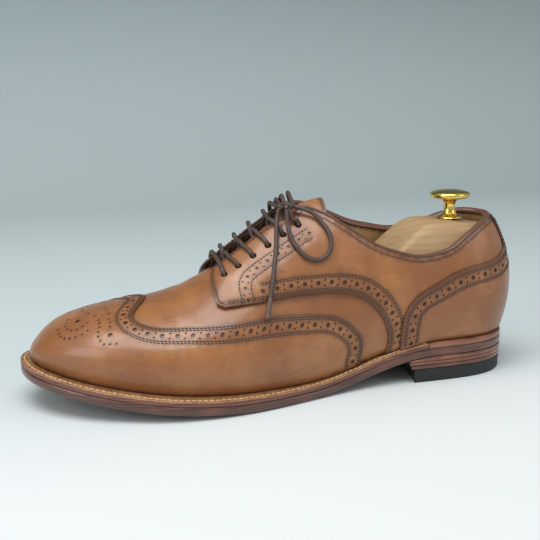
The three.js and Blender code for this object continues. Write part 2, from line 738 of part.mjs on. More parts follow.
// each quarter stops a hair short of the back seam
const quarter = (side) => {
  const h = quarterHalf(side);
  h.loop = h.loop.map((p) => [Math.max(p[0], 0.35), p[1]]);
  return panel([h], (p) => quarterTop(p) - LEATHER, quarterTop, 9.5);
};
const counterHalf = (side) => ({
  side,
  loop: chain(
    flow([foot(side, 79.5), mark(side, 79.2, 36), mark(side, 77, 45.5), mark(side, 70, 54), mark(side, 58, 60),
      mark(side, 42, 67), rear(side, 26, 72), rear(side, 21.5, 74), rear(side, 15, 76.5), rear(side, 11, 80),
      rear(side, 10, 86), rear(side, 10, 96)], 6),
    flow([rear(side, 10, 96), [0, mark(-1, 8.4, 96.2)[1]]], 6),
    straight([0, mark(-1, 8.4, 96.2)[1]], [0, 0], 6.4),
    alongFoot(S0, 79.5, 6),
  ),
});
const counterCover = () => panel(
  both(counterHalf),
  (p) => backSink(p) + GAP + 0.15,
  (p) => backSink(p) + GAP + 0.15 + LEATHER,
  8.5,
);

// the quarter lining follows the facings in front and drops to the lining layer behind
const LINING = -4.75;
const liningTop = (p) => mix(VAMP + facingLift(p) - 0.3 * smooth((-26 - p.x) / 9), LINING, smooth((p.x - 34) / 26));
const LINING_BACK = 46;
function quarterLiningHalf(side) {
  const top = flow(toplineEdge(side)).filter((p) => p[0] > LINING_BACK + 4);
  const seam = [LINING_BACK, seamTop(side)];
  return {
    side,
    holes: EYELETS.map(([s, y]) => eyelet(side, s, y)),
    loop: chain(
      flow([foot(side, 75), mark(side, 74, 31), mark(side, 76, 44), mark(side, 84, 57), mark(side, 98, 66),
        mark(side, 119, 71), mark(side, 139, 72.5), mark(side, 166, 71.5), mark(side, 180, 71.5),
        beside(side, 185.8, 26)]),
      flow([beside(side, 185.8, 26), beside(side, 185.8, FACING_Y + 0.5)], 6),
      flow([beside(side, 185.8, FACING_Y + 0.5), beside(side, 165, FACING_Y + 0.5),
        beside(side, 142.5, FACING_Y + 0.5)], 6),
      top,
      straight(top[top.length - 1], seam),
      straight(seam, [LINING_BACK, 0]),
      straight([LINING_BACK, 0], foot(side, 75)),
    ),
  };
}
const liningPanel = (side) => panel([quarterLiningHalf(side)], (p) => liningTop(p) - 0.9, liningTop, 11);

const gripHalf = (side) => {
  const top = flow(toplineEdge(side)).filter((p) => p[0] < LINING_BACK - 4);
  const seam = [LINING_BACK - 0.6, seamTop(side)];
  return {
    side,
    loop: chain(
      straight([LINING_BACK - 0.6, 0], seam),
      top,
      straight(top[top.length - 1], [0, 0], 7),
      straight([0, 0], [LINING_BACK - 0.6, 0]),
    ),
  };
};
const heelGrip = () => panel(both(gripHalf), constant(LINING - 0.9), constant(LINING), 12);
const stiffenerHalf = (side) => ({
  side,
  loop: chain(
    flow([foot(side, 70), mark(side, 68, 38), mark(side, 60, 50), mark(side, 44, 62), rear(side, 26, 70),
      rear(side, 14, 76), [0, mark(-1, 2, 78)[1]]]),
    straight([0, mark(-1, 2, 78)[1]], [0, 0], 7),
    alongFoot(S0, 70),
  ),
});
const heelStiffener = () => panel(both(stiffenerHalf), constant(-4.0), constant(-3.35), 10);
const puffHalf = (side) => ({
  side,
  loop: chain(
    flow([foot(side, 262), mark(side, 258, 36), mark(side, 252, 46), ridge(side, 246)]),
    alongRidge(side, 246, S1),
    alongFoot(S1, 262),
  ),
});
const toePuff = () => panel(both(puffHalf), constant(-4.0), constant(-3.35), 10);
const vampLiningHalf = (side) => ({
  side,
  loop: chain(
    alongRidge(side, S1, 192),
    flow([ridge(side, 192), beside(side, 192, 24), mark(side, 183, 67.5), mark(side, 166, 68),
      mark(side, 139, 69), mark(side, 119, 67.5), mark(side, 100, 62.5), mark(side, 88, 54),
      mark(side, 80, 43), mark(side, 78, 31), foot(side, 79)]),
    alongFoot(79, S1),
  ),
});
const vampLining = () => panel(both(vampLiningHalf), constant(LINING - 0.9), constant(LINING), 12);
const tongueHalf = (side) => ({
  side,
  loop: chain(
    flow([ridge(side, 118.5), beside(side, 119, 13), beside(side, 123, 22), beside(side, 138, 26),
      beside(side, 168, 25), beside(side, 186, 22), beside(side, 196, 15), ridge(side, 197)]),
    alongRidge(side, 197, 118.5),
  ),
});
const tongue = () => panel(both(tongueHalf), constant(-4.3), constant(-3.45), 9);

// folded edge round the mouth, a hair above the quarters' cut edge
function toplineBinding() {
  const rim = (side) => flow(toplineEdge(side), 7).map(([a, g]) => {
    const q = clamp((g + 2) / girth(side, a), 0, 1);
    const p = surface(side, a, q);
    return p.addScaledVector(normal(side, a, q), quarterTop(p) - 0.7);
  });
  const path = rim(-1).slice(0, -1).concat(rim(1).reverse());
  return tube(path, 1.1, 6, 8);
}

// ---- laces --------------------------------------------------------------
// point off the upper: distance forward, signed distance off the centre line, height off the surface
function above(s, y, t) {
  const side = y < 0 ? -1 : 1;
  const [a, g] = Math.abs(y) < 0.3 ? ridge(side, s) : beside(side, s, Math.abs(y));
  return offset(side, a, g / girth(side, a), t);
}
const UNDER = -1.2;            // run between tongue and facing linings
// through eyelet k from over the facing, leaning forward by lean on the way, to under it
function dive(k, side, lean = 0) {
  const [s, y] = EYELETS[k];
  return [
    [1.9 * lean, y - 7.6, 4.95], [lean, y - 4.2, 4.95], [0.3 * lean, y - 1.4, 4.7], [0, y - 0.1, 2.8],
    [0, y - 0.1, 0.6], [-0.2 * lean, y - 1.5, -0.85], [-0.5 * lean, y - 5, UNDER],
  ].map(([ds, dy, t]) => above(s + ds, side * dy, t));
}
// from over the facing edge at eyelet k, through the gap, to under the other facing at k - 1
function crossing(k, side, middle) {
  const from = EYELETS[k][0];
  const step = EYELETS[k - 1][0] - from;
  return [
    [0.40, 7.2, 4.9], [0.47, 5.5, 3.7], [0.55, 2.8, mix(middle, 2.4, 0.35)], [0.62, 0, middle],
    [0.70, -3.4, mix(middle, UNDER, 0.35)], [0.80, -7.4, UNDER],
  ].map(([share, y, t]) => above(from + share * step, side * y, t));
}
const HIGH = 1.8;
const LOW = -0.95;
// one strand from the knot down its side, straight across in front and up the other side
function lacing() {
  const path = [above(140.6, -12.8, 6.2), above(139.6, -13.4, 5.6), ...dive(5, -1).slice(2)];
  path.push(above(139.6, -7, UNDER - 0.3), above(142, 0, -1.7), above(144.4, 7, UNDER - 0.3));
  let side = 1;
  for (let k = 4; k >= 1; k--) {
    path.push(...dive(k, side, 1.5).reverse(), ...crossing(k, side, LOW));
    side = -side;
  }
  path.push(...dive(0, side).reverse(), above(182.4, side * 6.5, 4.9), above(182.4, -side * 6.5, 4.9));
  path.push(...dive(0, -side));
  for (let k = 1; k <= 4; k++) {
    path.push(...crossing(k, side, HIGH).reverse(), ...dive(k, side, 1.5));
    side = -side;
  }
  path.push(above(144.6, -7, UNDER), above(142, 0, 1.1), above(139.4, 7, UNDER));
  path.push(...dive(5, 1).slice(2).reverse(), above(139, 10.4, 5.4), above(140, 3, 5.6), near(0.4, 5, -0.6));
  return tube(path, LACE_R, 6, 4);
}
const KNOT = above(141, -8, 7.4);
function knot() {
  const g = new THREE.TorusKnotGeometry(1.8, 0.7, 42, 6, 2, 3);
  g.rotateX(0.3);
  g.translate(KNOT.x, KNOT.y, KNOT.z + 0.4);
  return tidy(g.deleteAttribute("normal").deleteAttribute("uv"));
}
const REST = LACE_R + 0.5;
const rest = (s, y, more = 0) => {
  const side = y < 0 ? -1 : 1;
  const [a, g] = beside(side, s, Math.abs(y));
  const q = g / girth(side, a);
  return offset(side, a, q, facingLift(surface(side, a, q)) + REST + more);
};
const near = (dx, dy, dz) => KNOT.clone().add(new THREE.Vector3(dx, dy, dz));
const loopLateral = () => tube([
  near(4.8, -0.6, 0.8), rest(132, -11.6, 1.6), rest(128, -14, 0.8), rest(124.6, -17.4), rest(122, -20.4),
  rest(121, -22.8), rest(121.6, -25), rest(124, -26.6), rest(128.6, -27.6), rest(133.6, -27.4), rest(137.6, -26.2),
  rest(140.6, -24), rest(143, -20.6, 0.2), rest(143.4, -16.8, 1.6), rest(143, -14.4, 2.6), near(-1.4, -4.8, 0),
], LACE_R, 6, 4);
const loopMedial = () => tube([
  near(4.7, 1.6, 1), rest(136.2, 4, 0.3), rest(134.4, 9, 0.2), rest(132, 13.4, 0.1), rest(129.8, 17),
  rest(128.8, 20), rest(129.6, 22.6), rest(132, 24), rest(134.8, 23.4), rest(137, 21.2),
  rest(138.8, 18.4, 0.1), rest(140.2, 15, 0.2), rest(141.6, 10.6, 0.3), rest(142.6, 5, 0.4),
  near(-2, 5.2, 0.2),
], LACE_R, 6, 4);
const endLateral = () => tube([
  near(-4.9, -1.8, 0.4), rest(147, -10.6, 3.2), rest(148.8, -14, 3.1), rest(150.6, -17.8, 1.4), rest(152.4, -21.8, 0.3),
  rest(154.6, -26), rest(156.8, -30.2), rest(159, -34), rest(160.8, -37.2),
], LACE_R, 6, 5);
const endMedial = () => tube([
  near(-4.7, 2.2, 0.4), rest(146.4, 4, 0.8), rest(145.9, 8, 0.5), rest(145.1, 12, 0.3),
  rest(144.2, 16, 0.2), rest(144, 19.6), rest(145.8, 22.6), rest(149, 25.2), rest(153, 27.4),
  rest(157.4, 29.9),
], LACE_R, 6, 5);
const aglet = (points) => tube(points, 1.3, 10, 6);
const agletLateral = () => aglet([rest(161.3, -38, 0.3), rest(162.6, -40.2, 0.3), rest(163.8, -42.2, 0.4)]);
const agletMedial = () => aglet([rest(157.9, 30.3, 0.4), rest(159.1, 31, 0.4), rest(160.4, 31.8, 0.4)]);

// ---- shoe tree ----------------------------------------------------------
const WOOD = LINING - 0.9 - 0.9;   // the wood's surface, just inside the linings
const FLOOR = 13.0;                // its underside over the sole's underside
const BRACKET_X = HALF - FORE_BACK - 9;
function woodPoint(side, u, q, inset = 0) {
  return offset(side, aOf(u), q, WOOD - inset);
}
// the front of the heel block stays further off the linings, so that it can slide
const slimmer = (s) => 3.2 * smooth((s - 40) / 55);
const blockTop = (s) => 94.1 - 0.12 * Math.max(0, 34 - s) - 25 * smooth((s - 51) / 46);
function atHeight(side, u, z) {
  const inset = slimmer(lastS(u));
  let lo = 0.02;
  let hi = 0.97;
  for (let i = 0; i < 26; i++) {
    const q = (lo + hi) / 2;
    if (woodPoint(side, u, q, inset).z < z) lo = q;
    else hi = q;
  }
  return woodPoint(side, u, lo, inset);
}
function heelBlock() {
  const rings = [];
  const u0 = lastU(2.5);
  const u1 = lastU(BLOCK_FRONT);
  for (let i = 0; i <= 18; i++) {
    const u = mix(u0, u1, i / 18);
    const s = lastS(u);
    const low = bottom(Math.min(s, 60)) + FLOOR;
    const high = blockTop(s);
    const half = (side) => {
      const out = [];
      for (const t of [0, 0.14, 0.3, 0.48, 0.66, 0.83, 0.965]) out.push(atHeight(side, u, mix(low, high, t)));
      const edge = atHeight(side, u, high);
      const w = Math.max(Math.abs(edge.y) - 2.5, Math.abs(edge.y) * 0.5);
      out.push(new THREE.Vector3(edge.x, side * w, high));
      return out;
    };
    const ring = [...half(-1), ...half(1).reverse()];
    if (i === 18) ring.forEach((p) => { p.x = HALF - s; });
    rings.push(ring);
  }
  const hole = rod(HALF - BLOCK_FRONT - 4, HALF - 84, TUBE_Y, TUBE_Z, ROD_R + GAP);
  const socket = turned([[0, 88], [3.5, 88], [3.5, 98], [0, 98], [0, 88]], HALF - KNOB_S, 0, 16);
  return cut(loft(rings), hole, socket);
}
const knob = () => turned([
  [0, 88.4], [3.2, 88.4], [3.2, 94.4], [8.2, 94.4], [8.2, 95.6], [5.6, 97], [3.6, 99.5], [3.1, 102.5], [3.6, 105.2],
  [6.2, 107], [10.8, 107.9], [KNOB_R, 108.9], [KNOB_R - 0.2, 110.3], [10.2, 111.5], [6, 112.3], [0, KNOB_TOP],
  [0, 88.4],
], HALF - KNOB_S, 0);

const SPLIT = 2.2;             // half gap between the forepart's two halves
function foreHalf(side) {
  const rings = [];
  const u0 = lastU(FORE_BACK);
  const u1 = lastU(274);
  for (let i = 0; i <= 16; i++) {
    const u = mix(u0, u1, i / 16);
    const s = lastS(u);
    const mid = centre(u);
    const ring = [];
    for (const q of [0.1, 0.2, 0.32, 0.45, 0.58, 0.7, 0.8, 0.88, 0.94]) ring.push(woodPoint(side, u, q));
    const crown = woodPoint(side, u, 0.975);
    crown.y = mid + side * SPLIT;
    ring.push(crown);
    const low = bottom(s) + FLOOR;
    ring.forEach((p) => {
      p.z = Math.max(p.z, low + 1);
      p.y = side * Math.max(side * (p.y - mid), SPLIT) + mid;
    });
    ring.unshift(new THREE.Vector3(ring[0].x, ring[0].y - side * 1.5, low));
    ring.unshift(new THREE.Vector3(ring[0].x, mid + side * SPLIT, low));
    rings.push(ring);
  }
  const pin = crossRod(-40, 40, BRACKET_X, TUBE_Z - 4, 3.3);
  const slot = box(HALF - FORE_BACK - 22, HALF - FORE_BACK + 8, TUBE_Y - 9, TUBE_Y + 9, 37.5, 56.5);
  return cut(loft(rings), pin, slot);
}
// brass fork between the halves: the collar, its cross pin and the outer tube
function bracket() {
  const collar = rod(BRACKET_X - 7, HALF - FORE_BACK + 3, TUBE_Y, TUBE_Z, 7);
  const pin = crossRod(-18, 24, BRACKET_X, TUBE_Z - 4, 2.6);
  return join(collar, pin);
}

// ring round the tree's tube from s0 to s1
function sleeve(s0, s1, inner, outer, sides = 20) {
  const g = new THREE.LatheGeometry([[inner, s0], [outer, s0], [outer, s1], [inner, s1], [inner, s0]]
    .map((p) => new THREE.Vector2(p[0], p[1])), sides);
  g.rotateZ(Math.PI / 2);
  g.translate(HALF, TUBE_Y, TUBE_Z);
  return tidy(g.deleteAttribute("normal").deleteAttribute("uv"));
}
const outerTube = () => sleeve(TUBE_BACK, FORE_BACK - 3 - GAP, ROD_R + GAP, ROD_R + 1.3);
const innerTube = () => rod(HALF - TUBE_BACK - 15, HALF - 86, TUBE_Y, TUBE_Z, ROD_R);
const ferrule = () => sleeve(BLOCK_FRONT + GAP, BLOCK_FRONT + 2, ROD_R + GAP, 8.5);
const COIL_R = ROD_R + 1.5;
function spring() {
  const s0 = BLOCK_FRONT + 3.2;
  const s1 = TUBE_BACK - 1.1;
  const turns = 6;
  const path = [];
  for (let i = 0; i <= turns * 10; i++) {
    const t = i / 10 * 2 * Math.PI;
    const x = HALF - mix(s0, s1, i / (turns * 10));
    path.push(new THREE.Vector3(x, TUBE_Y + COIL_R * Math.cos(t), TUBE_Z + COIL_R * Math.sin(t)));
  }
  return tube(path, 0.8, 5, 3.4);
}

const PIECES = {
  outsole: outsole, welt: welt, heel_rand: heelRand, cork_filler: corkFiller, shank: shank,
  insole: insole, heel_sock: heelSock, heel_top_piece: topPiece, heel_lift_lower: lift1,
  heel_lift_middle: lift2, heel_lift_upper: lift3, wing_cap: wingCap, vamp: vamp,
  quarter_lateral: () => quarter(-1), quarter_medial: () => quarter(1), counter_cover: counterCover,
  topline_binding: toplineBinding, tongue: tongue, vamp_lining: vampLining,
  quarter_lining_lateral: () => liningPanel(-1), quarter_lining_medial: () => liningPanel(1),
  heel_grip: heelGrip, heel_stiffener: heelStiffener, toe_puff: toePuff,
  lace_threaded: lacing, lace_knot: knot, lace_loop_lateral: loopLateral, lace_loop_medial: loopMedial,
  lace_end_lateral: endLateral, lace_end_medial: endMedial, aglet_lateral: agletLateral,
  aglet_medial: agletMedial, tree_heel_block: heelBlock, tree_knob: knob,
  tree_toe_lateral: () => foreHalf(-1), tree_toe_medial: () => foreHalf(1), tree_bracket: bracket,
  tree_outer_tube: outerTube, tree_inner_tube: innerTube, tree_ferrule: ferrule, tree_spring: spring,
};
const COLOURS = {
  outsole: "#6d4136", welt: "#b98a5c", heel_top_piece: "#33312f", tree: "#b89a6a", knob: "#b5a05a",
  lace: "#57483f", lining: "#c3a976", default: "#9a683c",
};
const group = new THREE.Group();
for (const [name, make] of Object.entries(PIECES)) {
  const key = Object.keys(COLOURS).find((k) => name.includes(k)) ?? "default";
  const mesh = new THREE.Mesh(make(), new THREE.MeshStandardMaterial({ color: COLOURS[key] }));
  mesh.name = name;
  group.add(mesh);
}
// origin under the middle of everything but the free laces
const frame = new THREE.Box3();
for (const mesh of group.children) {
  if (!/lace_loop|lace_end|aglet/.test(mesh.name)) frame.expandByObject(mesh);
}
for (const mesh of group.children) {
  mesh.geometry.translate(-(frame.min.x + frame.max.x) / 2, -(frame.min.y + frame.max.y) / 2, -frame.min.z);
}
export default group;
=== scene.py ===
# %% [markdown]
# # A welted brogue shoe on its cedar tree
# The frame holds every solid of the shoe in metres: toe towards -X, outer side towards -Y,
# ground at z = 0. This lesson dresses that frame: each visible piece of leather is cut again
# as a fine mesh, with its punched holes, gimped edges and stitches, and gets a procedural
# finish. Hidden pieces keep their plain solids with a better material.

# %% Load the frame
import math
import bpy
import bmesh
import numpy as np
from mathutils import Matrix, Vector
from mathutils.geometry import delaunay_2d_cdt


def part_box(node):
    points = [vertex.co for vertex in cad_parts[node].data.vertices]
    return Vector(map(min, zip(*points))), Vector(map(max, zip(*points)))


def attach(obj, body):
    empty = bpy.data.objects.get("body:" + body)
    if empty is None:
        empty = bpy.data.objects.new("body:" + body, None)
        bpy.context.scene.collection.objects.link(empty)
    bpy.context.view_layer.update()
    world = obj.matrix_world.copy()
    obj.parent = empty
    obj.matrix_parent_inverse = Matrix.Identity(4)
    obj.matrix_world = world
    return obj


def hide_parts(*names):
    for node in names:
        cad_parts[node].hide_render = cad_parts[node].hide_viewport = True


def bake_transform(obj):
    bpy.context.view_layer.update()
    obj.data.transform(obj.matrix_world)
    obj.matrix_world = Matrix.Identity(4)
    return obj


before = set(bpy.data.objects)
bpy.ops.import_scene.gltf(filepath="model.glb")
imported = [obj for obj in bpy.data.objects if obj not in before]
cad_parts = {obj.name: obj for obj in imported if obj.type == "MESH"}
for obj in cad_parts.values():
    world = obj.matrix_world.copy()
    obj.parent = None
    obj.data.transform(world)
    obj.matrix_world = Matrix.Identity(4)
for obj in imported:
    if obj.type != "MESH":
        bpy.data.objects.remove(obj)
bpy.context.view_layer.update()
scene = bpy.context.scene
MM = 0.001
print("solids in the frame:", len(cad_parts))

# %% [markdown]
# ## Camera
# A low three-quarter view of the outer side with a medium tele lens. The camera is placed by
# direction and distance from a point on the shoe, so it can be moved by changing one number.

# %% Camera
HALF = 150.0
SHIFT_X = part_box("outsole")[0][0] / MM + HALF
SHIFT_Y = 3.64
AZIMUTH, ELEVATION, DISTANCE, ROLL = -13.71, 12.65, 514.5, -0.82
LOOK_AT = (-1.15, 0.0, 68.55)
LENS = 56.67


def place_camera():
    a, e = math.radians(AZIMUTH), math.radians(ELEVATION)
    back = Vector((math.sin(a) * math.cos(e), -math.cos(a) * math.cos(e), math.sin(e)))
    right = Vector((math.cos(a), math.sin(a), 0))
    up = back.cross(right)
    r = math.radians(ROLL)
    right, up = math.cos(r) * right + math.sin(r) * up, math.cos(r) * up - math.sin(r) * right
    data = bpy.data.cameras.new("camera")
    data.lens = LENS
    data.sensor_width = 36
    camera = bpy.data.objects.new("camera", data)
    scene.collection.objects.link(camera)
    target = Vector((LOOK_AT[0] + SHIFT_X, LOOK_AT[1] + SHIFT_Y, LOOK_AT[2]))
    at = (target + back * DISTANCE) * MM
    camera.location = at
    camera.rotation_euler = Matrix((right, up, back)).transposed().to_euler()
    scene.camera = camera


place_camera()
print("camera at", [round(x, 3) for x in scene.camera.location])

# %% [markdown]
# ## The last
# A shoe takes its form from the last it is made on. The surface below is that form with the
# leather on it: half widths, ridge height and roundness of each cross section are smooth
# curves through a few stations, counted in millimetres forward from the heel. Every panel is
# then a flat pattern laid on this surface, which keeps neighbouring pieces exactly nested.

# %% Curves through stations
def clamp(x, a, b):
    return np.minimum(np.maximum(x, a), b)


def smooth(x):
    t = clamp(x, 0, 1)
    return t * t * (3 - 2 * t)


def spline(xs, ys):
    xs, ys = np.asarray(xs, float), np.asarray(ys, float)
    n = len(xs)
    h = np.diff(xs)
    left, right = np.eye(n), np.zeros(n)
    for i in range(1, n - 1):
        left[i, i - 1:i + 2] = h[i - 1], 2 * (h[i - 1] + h[i]), h[i]
        right[i] = 6 * ((ys[i + 1] - ys[i]) / h[i] - (ys[i] - ys[i - 1]) / h[i - 1])
    m = np.linalg.solve(left, right)

    def curve(x):
        x = np.asarray(x, float)
        i = np.clip(np.searchsorted(xs, x) - 1, 0, n - 2)
        a, b, g = xs[i + 1] - x, x - xs[i], h[i]
        bend = (m[i] * a ** 3 + m[i + 1] * b ** 3) / (6 * g)
        return bend + (ys[i] / g - m[i] * g / 6) * a + (ys[i + 1] / g - m[i + 1] * g / 6) * b
    return curve


LENGTH = 300.0


def bottom(s):
    s = np.asarray(s, float)
    return 17.85 * (clamp(s - 145, 0, 999) / 155) ** 2 + 16.0 * smooth((140 - s) / 85)


SOLE_S = [0, 2, 9, 20, 36, 70, 105, 140, 170, 195, 220, 245, 265, 280, 290, 297, 300]
SOLE_LAT = [0, 11, 22.3, 30, 33.8, 35.2, 37.5, 46, 54.5, 58, 57, 50.5, 42, 32, 22.4, 10.8, -3]
SOLE_MED = [0, 11, 22.3, 29.5, 33, 32, 28.5, 34, 42.5, 48.5, 50.5, 48.3, 43.2, 35.6, 27, 16.5, 3]


def sole_u(s):
    return np.arccos(clamp(1 - 2 * np.asarray(s, float) / LENGTH, -1, 1)) / np.pi


def sole_s(u):
    return HALF * (1 - np.cos(np.pi * np.asarray(u, float)))


sole_lat = spline(sole_u(SOLE_S), SOLE_LAT)
sole_med = spline(sole_u(SOLE_S), SOLE_MED)

# %% The leather's outer surface
S0, S1 = -1.0, 294.5
FEATHER = 9.0
LAST = np.array([
    (-1, 0, 0, 117, 2.0), (9, 22.5, 22.5, 117, 2.0), (20, 29.8, 29.8, 117, 2.0),
    (40, 33.8, 33.3, 117, 2.0), (70, 35.2, 33.8, 117, 1.95), (105, 36.5, 33.5, 116, 1.75),
    (120, 38.5, 34.0, 114.5, 1.65), (140, 42.5, 35.0, 108, 1.6), (160, 47.5, 37.2, 94, 1.65),
    (175, 50.5, 39.8, 82.3, 1.7), (195, 52.5, 43.0, 69.2, 1.85), (220, 51.0, 45.0, 59.8, 1.95),
    (245, 44.5, 42.5, 54.9, 2.05), (265, 35.5, 37.0, 51.0, 2.1), (280, 24.8, 28.8, 45.5, 2.1),
    (290, 13.0, 18.0, 37.0, 2.0), (294.5, -3.0, 3.0, 29.0, 2.0)])


def last_u(s):
    return np.arccos(clamp(1 - 2 * (np.asarray(s, float) - S0) / (S1 - S0), -1, 1)) / np.pi


def last_s(u):
    return S0 + (S1 - S0) * (1 - np.cos(np.pi * np.asarray(u, float))) / 2


width_lat, width_med, ridge_z, roundness = (
    spline(last_u(LAST[:, 0]), LAST[:, k]) for k in range(1, 5))
centre = spline(last_u([-1, 100, 140, 190, 294.5]), [0, 1, 3, 3, 3])
belly = spline([0, 70, 140, 200, 260, 294.5], [22, 22, 18, 14, 12, 5])
heel_curve = spline([25, 45, 59, 75, 98, 117], [0, -3.6, -4.2, -1.6, 8.6, 20])
KNEE, TUCK = 0.22, 2.6


def section_points(side, u, v):
    """Points of the surface: u runs heel to toe, v from the welt (0) to the ridge (1)."""
    s = last_s(u)
    zf = bottom(s) + FEATHER
    zr = ridge_z(u)
    zw = np.minimum(zf + belly(s), zr - 0.5)
    y0 = centre(u)
    w = clamp((width_lat(u) + y0) if side < 0 else (width_med(u) - y0), 0, 999)
    k = clamp(v / KNEE, 0, 1)
    th = clamp((v - KNEE) / (1 - KNEE), 0, 1) * np.pi / 2
    e = 2 / roundness(u)
    low = v < KNEE
    y = np.where(low, w - TUCK * clamp(w / 12, 0, 1) * (1 - k) ** 2,
                 w * clamp(np.cos(th), 0, 1) ** e)
    z = np.where(low, zf + (zw - zf) * k, zw + (zr - zw) * np.sin(th) ** e)
    shift = heel_curve(z) * clamp(1 - s / 95, 0, 1) ** 1.6
    return np.stack([HALF - s - shift, y0 + side * y, z], -1)


# %% Tables of the surface, evenly spaced along the foot and up each section
NU, NQ = 901, 161
U_ROW = np.linspace(0, 1, NU)
mean_width = (width_lat(U_ROW) + width_med(U_ROW)) / 2
A_ROW = np.concatenate([[0], np.cumsum(np.hypot(np.diff(last_s(U_ROW)), np.diff(mean_width)))])
A_MAX = A_ROW[-1]
Q_COL = np.linspace(0, 1, NQ)
POS, NRM, GIRTH = {}, {}, {}


def build_tables():
    v = np.linspace(0, 1, 400)
    for side in (-1, 1):
        fine = section_points(side, U_ROW[:, None], v[None, :])
        steps = np.linalg.norm(np.diff(fine, axis=1), axis=2)
        run = np.concatenate([np.zeros((NU, 1)), np.cumsum(steps, axis=1)], 1)
        GIRTH[side] = run[:, -1]
        table = np.empty((NU, NQ, 3))
        for i in range(NU):
            for k in range(3):
                table[i, :, k] = np.interp(Q_COL * run[i, -1], run[i], fine[i, :, k])
        POS[side] = table
    for side in (-1, 1):
        t = POS[side]
        n = np.cross(np.gradient(t, axis=0), np.gradient(t, axis=1)) * (-1 if side < 0 else 1)
        n /= np.linalg.norm(n, axis=2, keepdims=True) + 1e-12
        n[:5], n[-9:] = n[5], n[-10]
        NRM[side] = n
    for rows, cols in ((slice(None), slice(-3, None)), (slice(-1, None), slice(None)),
                       (slice(0, 1), slice(None))):
        both = NRM[-1][rows, cols] + NRM[1][rows, cols]
        if rows == slice(0, 1):
            both[..., 1] = 0
        both /= np.linalg.norm(both, axis=-1, keepdims=True)
        NRM[-1][rows, cols] = NRM[1][rows, cols] = both


build_tables()
print("girth at the instep", round(float(GIRTH[-1][600] + GIRTH[1][600]), 1), "mm")


def look_up(table, a, q):
    x = np.interp(a, A_ROW, np.arange(NU))
    y = clamp(q, 0, 1) * (NQ - 1)
    i, j = np.minimum(x.astype(int), NU - 2), np.minimum(y.astype(int), NQ - 2)
    fx, fy = (x - i)[:, None], (y - j)[:, None]
    near = table[i, j] * (1 - fy) + table[i, j + 1] * fy
    far = table[i + 1, j] * (1 - fy) + table[i + 1, j + 1] * fy
    return near * (1 - fx) + far * fx


def girth(side, a):
    return np.interp(a, A_ROW, GIRTH[side])


# %% [markdown]
# ## Two ways to lay a pattern flat
# Pieces that cross the ridge (cap, vamp, tongue) are drawn with the ridge as their middle
# line. Pieces that wrap the heel or stay on one side are drawn with height above the welt as
# their second coordinate, and the back seam as zero. Both are in millimetres, so a 2 mm hole
# is drawn 2 mm wide.

# %% From pattern to shoe
def over_ridge(p):
    """(side, a, q) of points drawn with the ridge at zero, the lateral side negative."""
    side = np.where(p[:, 1] < 0, -1, 1)
    g = np.where(side < 0, girth(-1, p[:, 0]), girth(1, p[:, 0]))
    return side, p[:, 0], 1 - np.abs(p[:, 1]) / np.maximum(g, 0.01)


def over_heel(p):
    """(side, a, q) of points drawn with the back seam at zero, the lateral side negative."""
    side = np.where(p[:, 0] < 0, -1, 1)
    a = np.abs(p[:, 0])
    g = np.where(side < 0, girth(-1, a), girth(1, a))
    return side, a, p[:, 1] / np.maximum(g, 0.01)


def on_last(pattern, lay, height=0.0):
    side, a, q = lay(np.asarray(pattern, float))
    lateral = (side < 0)[:, None]
    p = np.where(lateral, look_up(POS[-1], a, q), look_up(POS[1], a, q))
    n = np.where(lateral, look_up(NRM[-1], a, q), look_up(NRM[1], a, q))
    n /= np.linalg.norm(n, axis=1, keepdims=True)
    t = height(p) if callable(height) else height
    return p + n * np.broadcast_to(t, len(p))[:, None], n


def to_frame(p):
    return (np.asarray(p, float) + (SHIFT_X, SHIFT_Y, 0)) * MM


def run_at(s, z):
    base = s
    for _ in range(14):
        base = s - float(heel_curve(z)) * max(0.0, min(1.0, 1 - base / 95)) ** 1.6
    return float(np.interp(last_u(base), U_ROW, A_ROW))


def row_at(side, a):
    q = Q_COL
    return look_up(POS[side], np.full(NQ, a), q)


def mark(side, s, z):
    """Pattern point at a distance forward and a height, as (run, height above the welt)."""
    a = run_at(s, z)
    row = row_at(side, a)
    return a, float(np.interp(z, row[:, 2], Q_COL)) * float(girth(side, a))


def beside(side, s, y):
    """Pattern point at a distance forward and a distance off the centre line, near the ridge."""
    a = float(np.interp(last_u(s), U_ROW, A_ROW))
    row = row_at(side, a)
    top = Q_COL > 0.3
    q = np.interp(-y, -np.abs(row[top, 1]), Q_COL[top])
    return a, float(q) * float(girth(side, a))


def rear(side, y, z):
    """Pattern point round the heel at a distance off the centre line and a height."""
    found = None
    for a in np.arange(0.5, 70, 0.25):
        row = row_at(side, a)
        q = float(np.interp(z, row[:, 2], Q_COL))
        if abs(np.interp(q, Q_COL, row[:, 1])) >= y:
            found = a, q * float(girth(side, a))
            break
    return found


def foot(side, s):
    return float(np.interp(last_u(s), U_ROW, A_ROW)), 0.0


def crest(side, s):
    a = float(np.interp(last_u(s), U_ROW, A_ROW))
    return a, float(girth(side, a))


def ridge_up(side, points):
    """Welt-based pattern points redrawn with the ridge at zero."""
    return [(a, side * (float(girth(side, a)) - g)) for a, g in points]


# %% Curves drawn on the pattern
def lengths(p):
    """How far along the line each of its points is."""
    return np.concatenate([[0], np.cumsum(np.linalg.norm(np.diff(p, axis=0), axis=1))])


def at_lengths(t, run, p):
    """Points of the line p at the lengths t, where run is lengths(p)."""
    return np.stack([np.interp(t, run, p[:, k]) for k in range(p.shape[1])], 1)


def spaced(points, step):
    p = np.asarray(points, float)
    run = lengths(p)
    n = max(1, int(round(run[-1] / step)))
    return at_lengths(np.linspace(0, run[-1], n + 1), run, p)


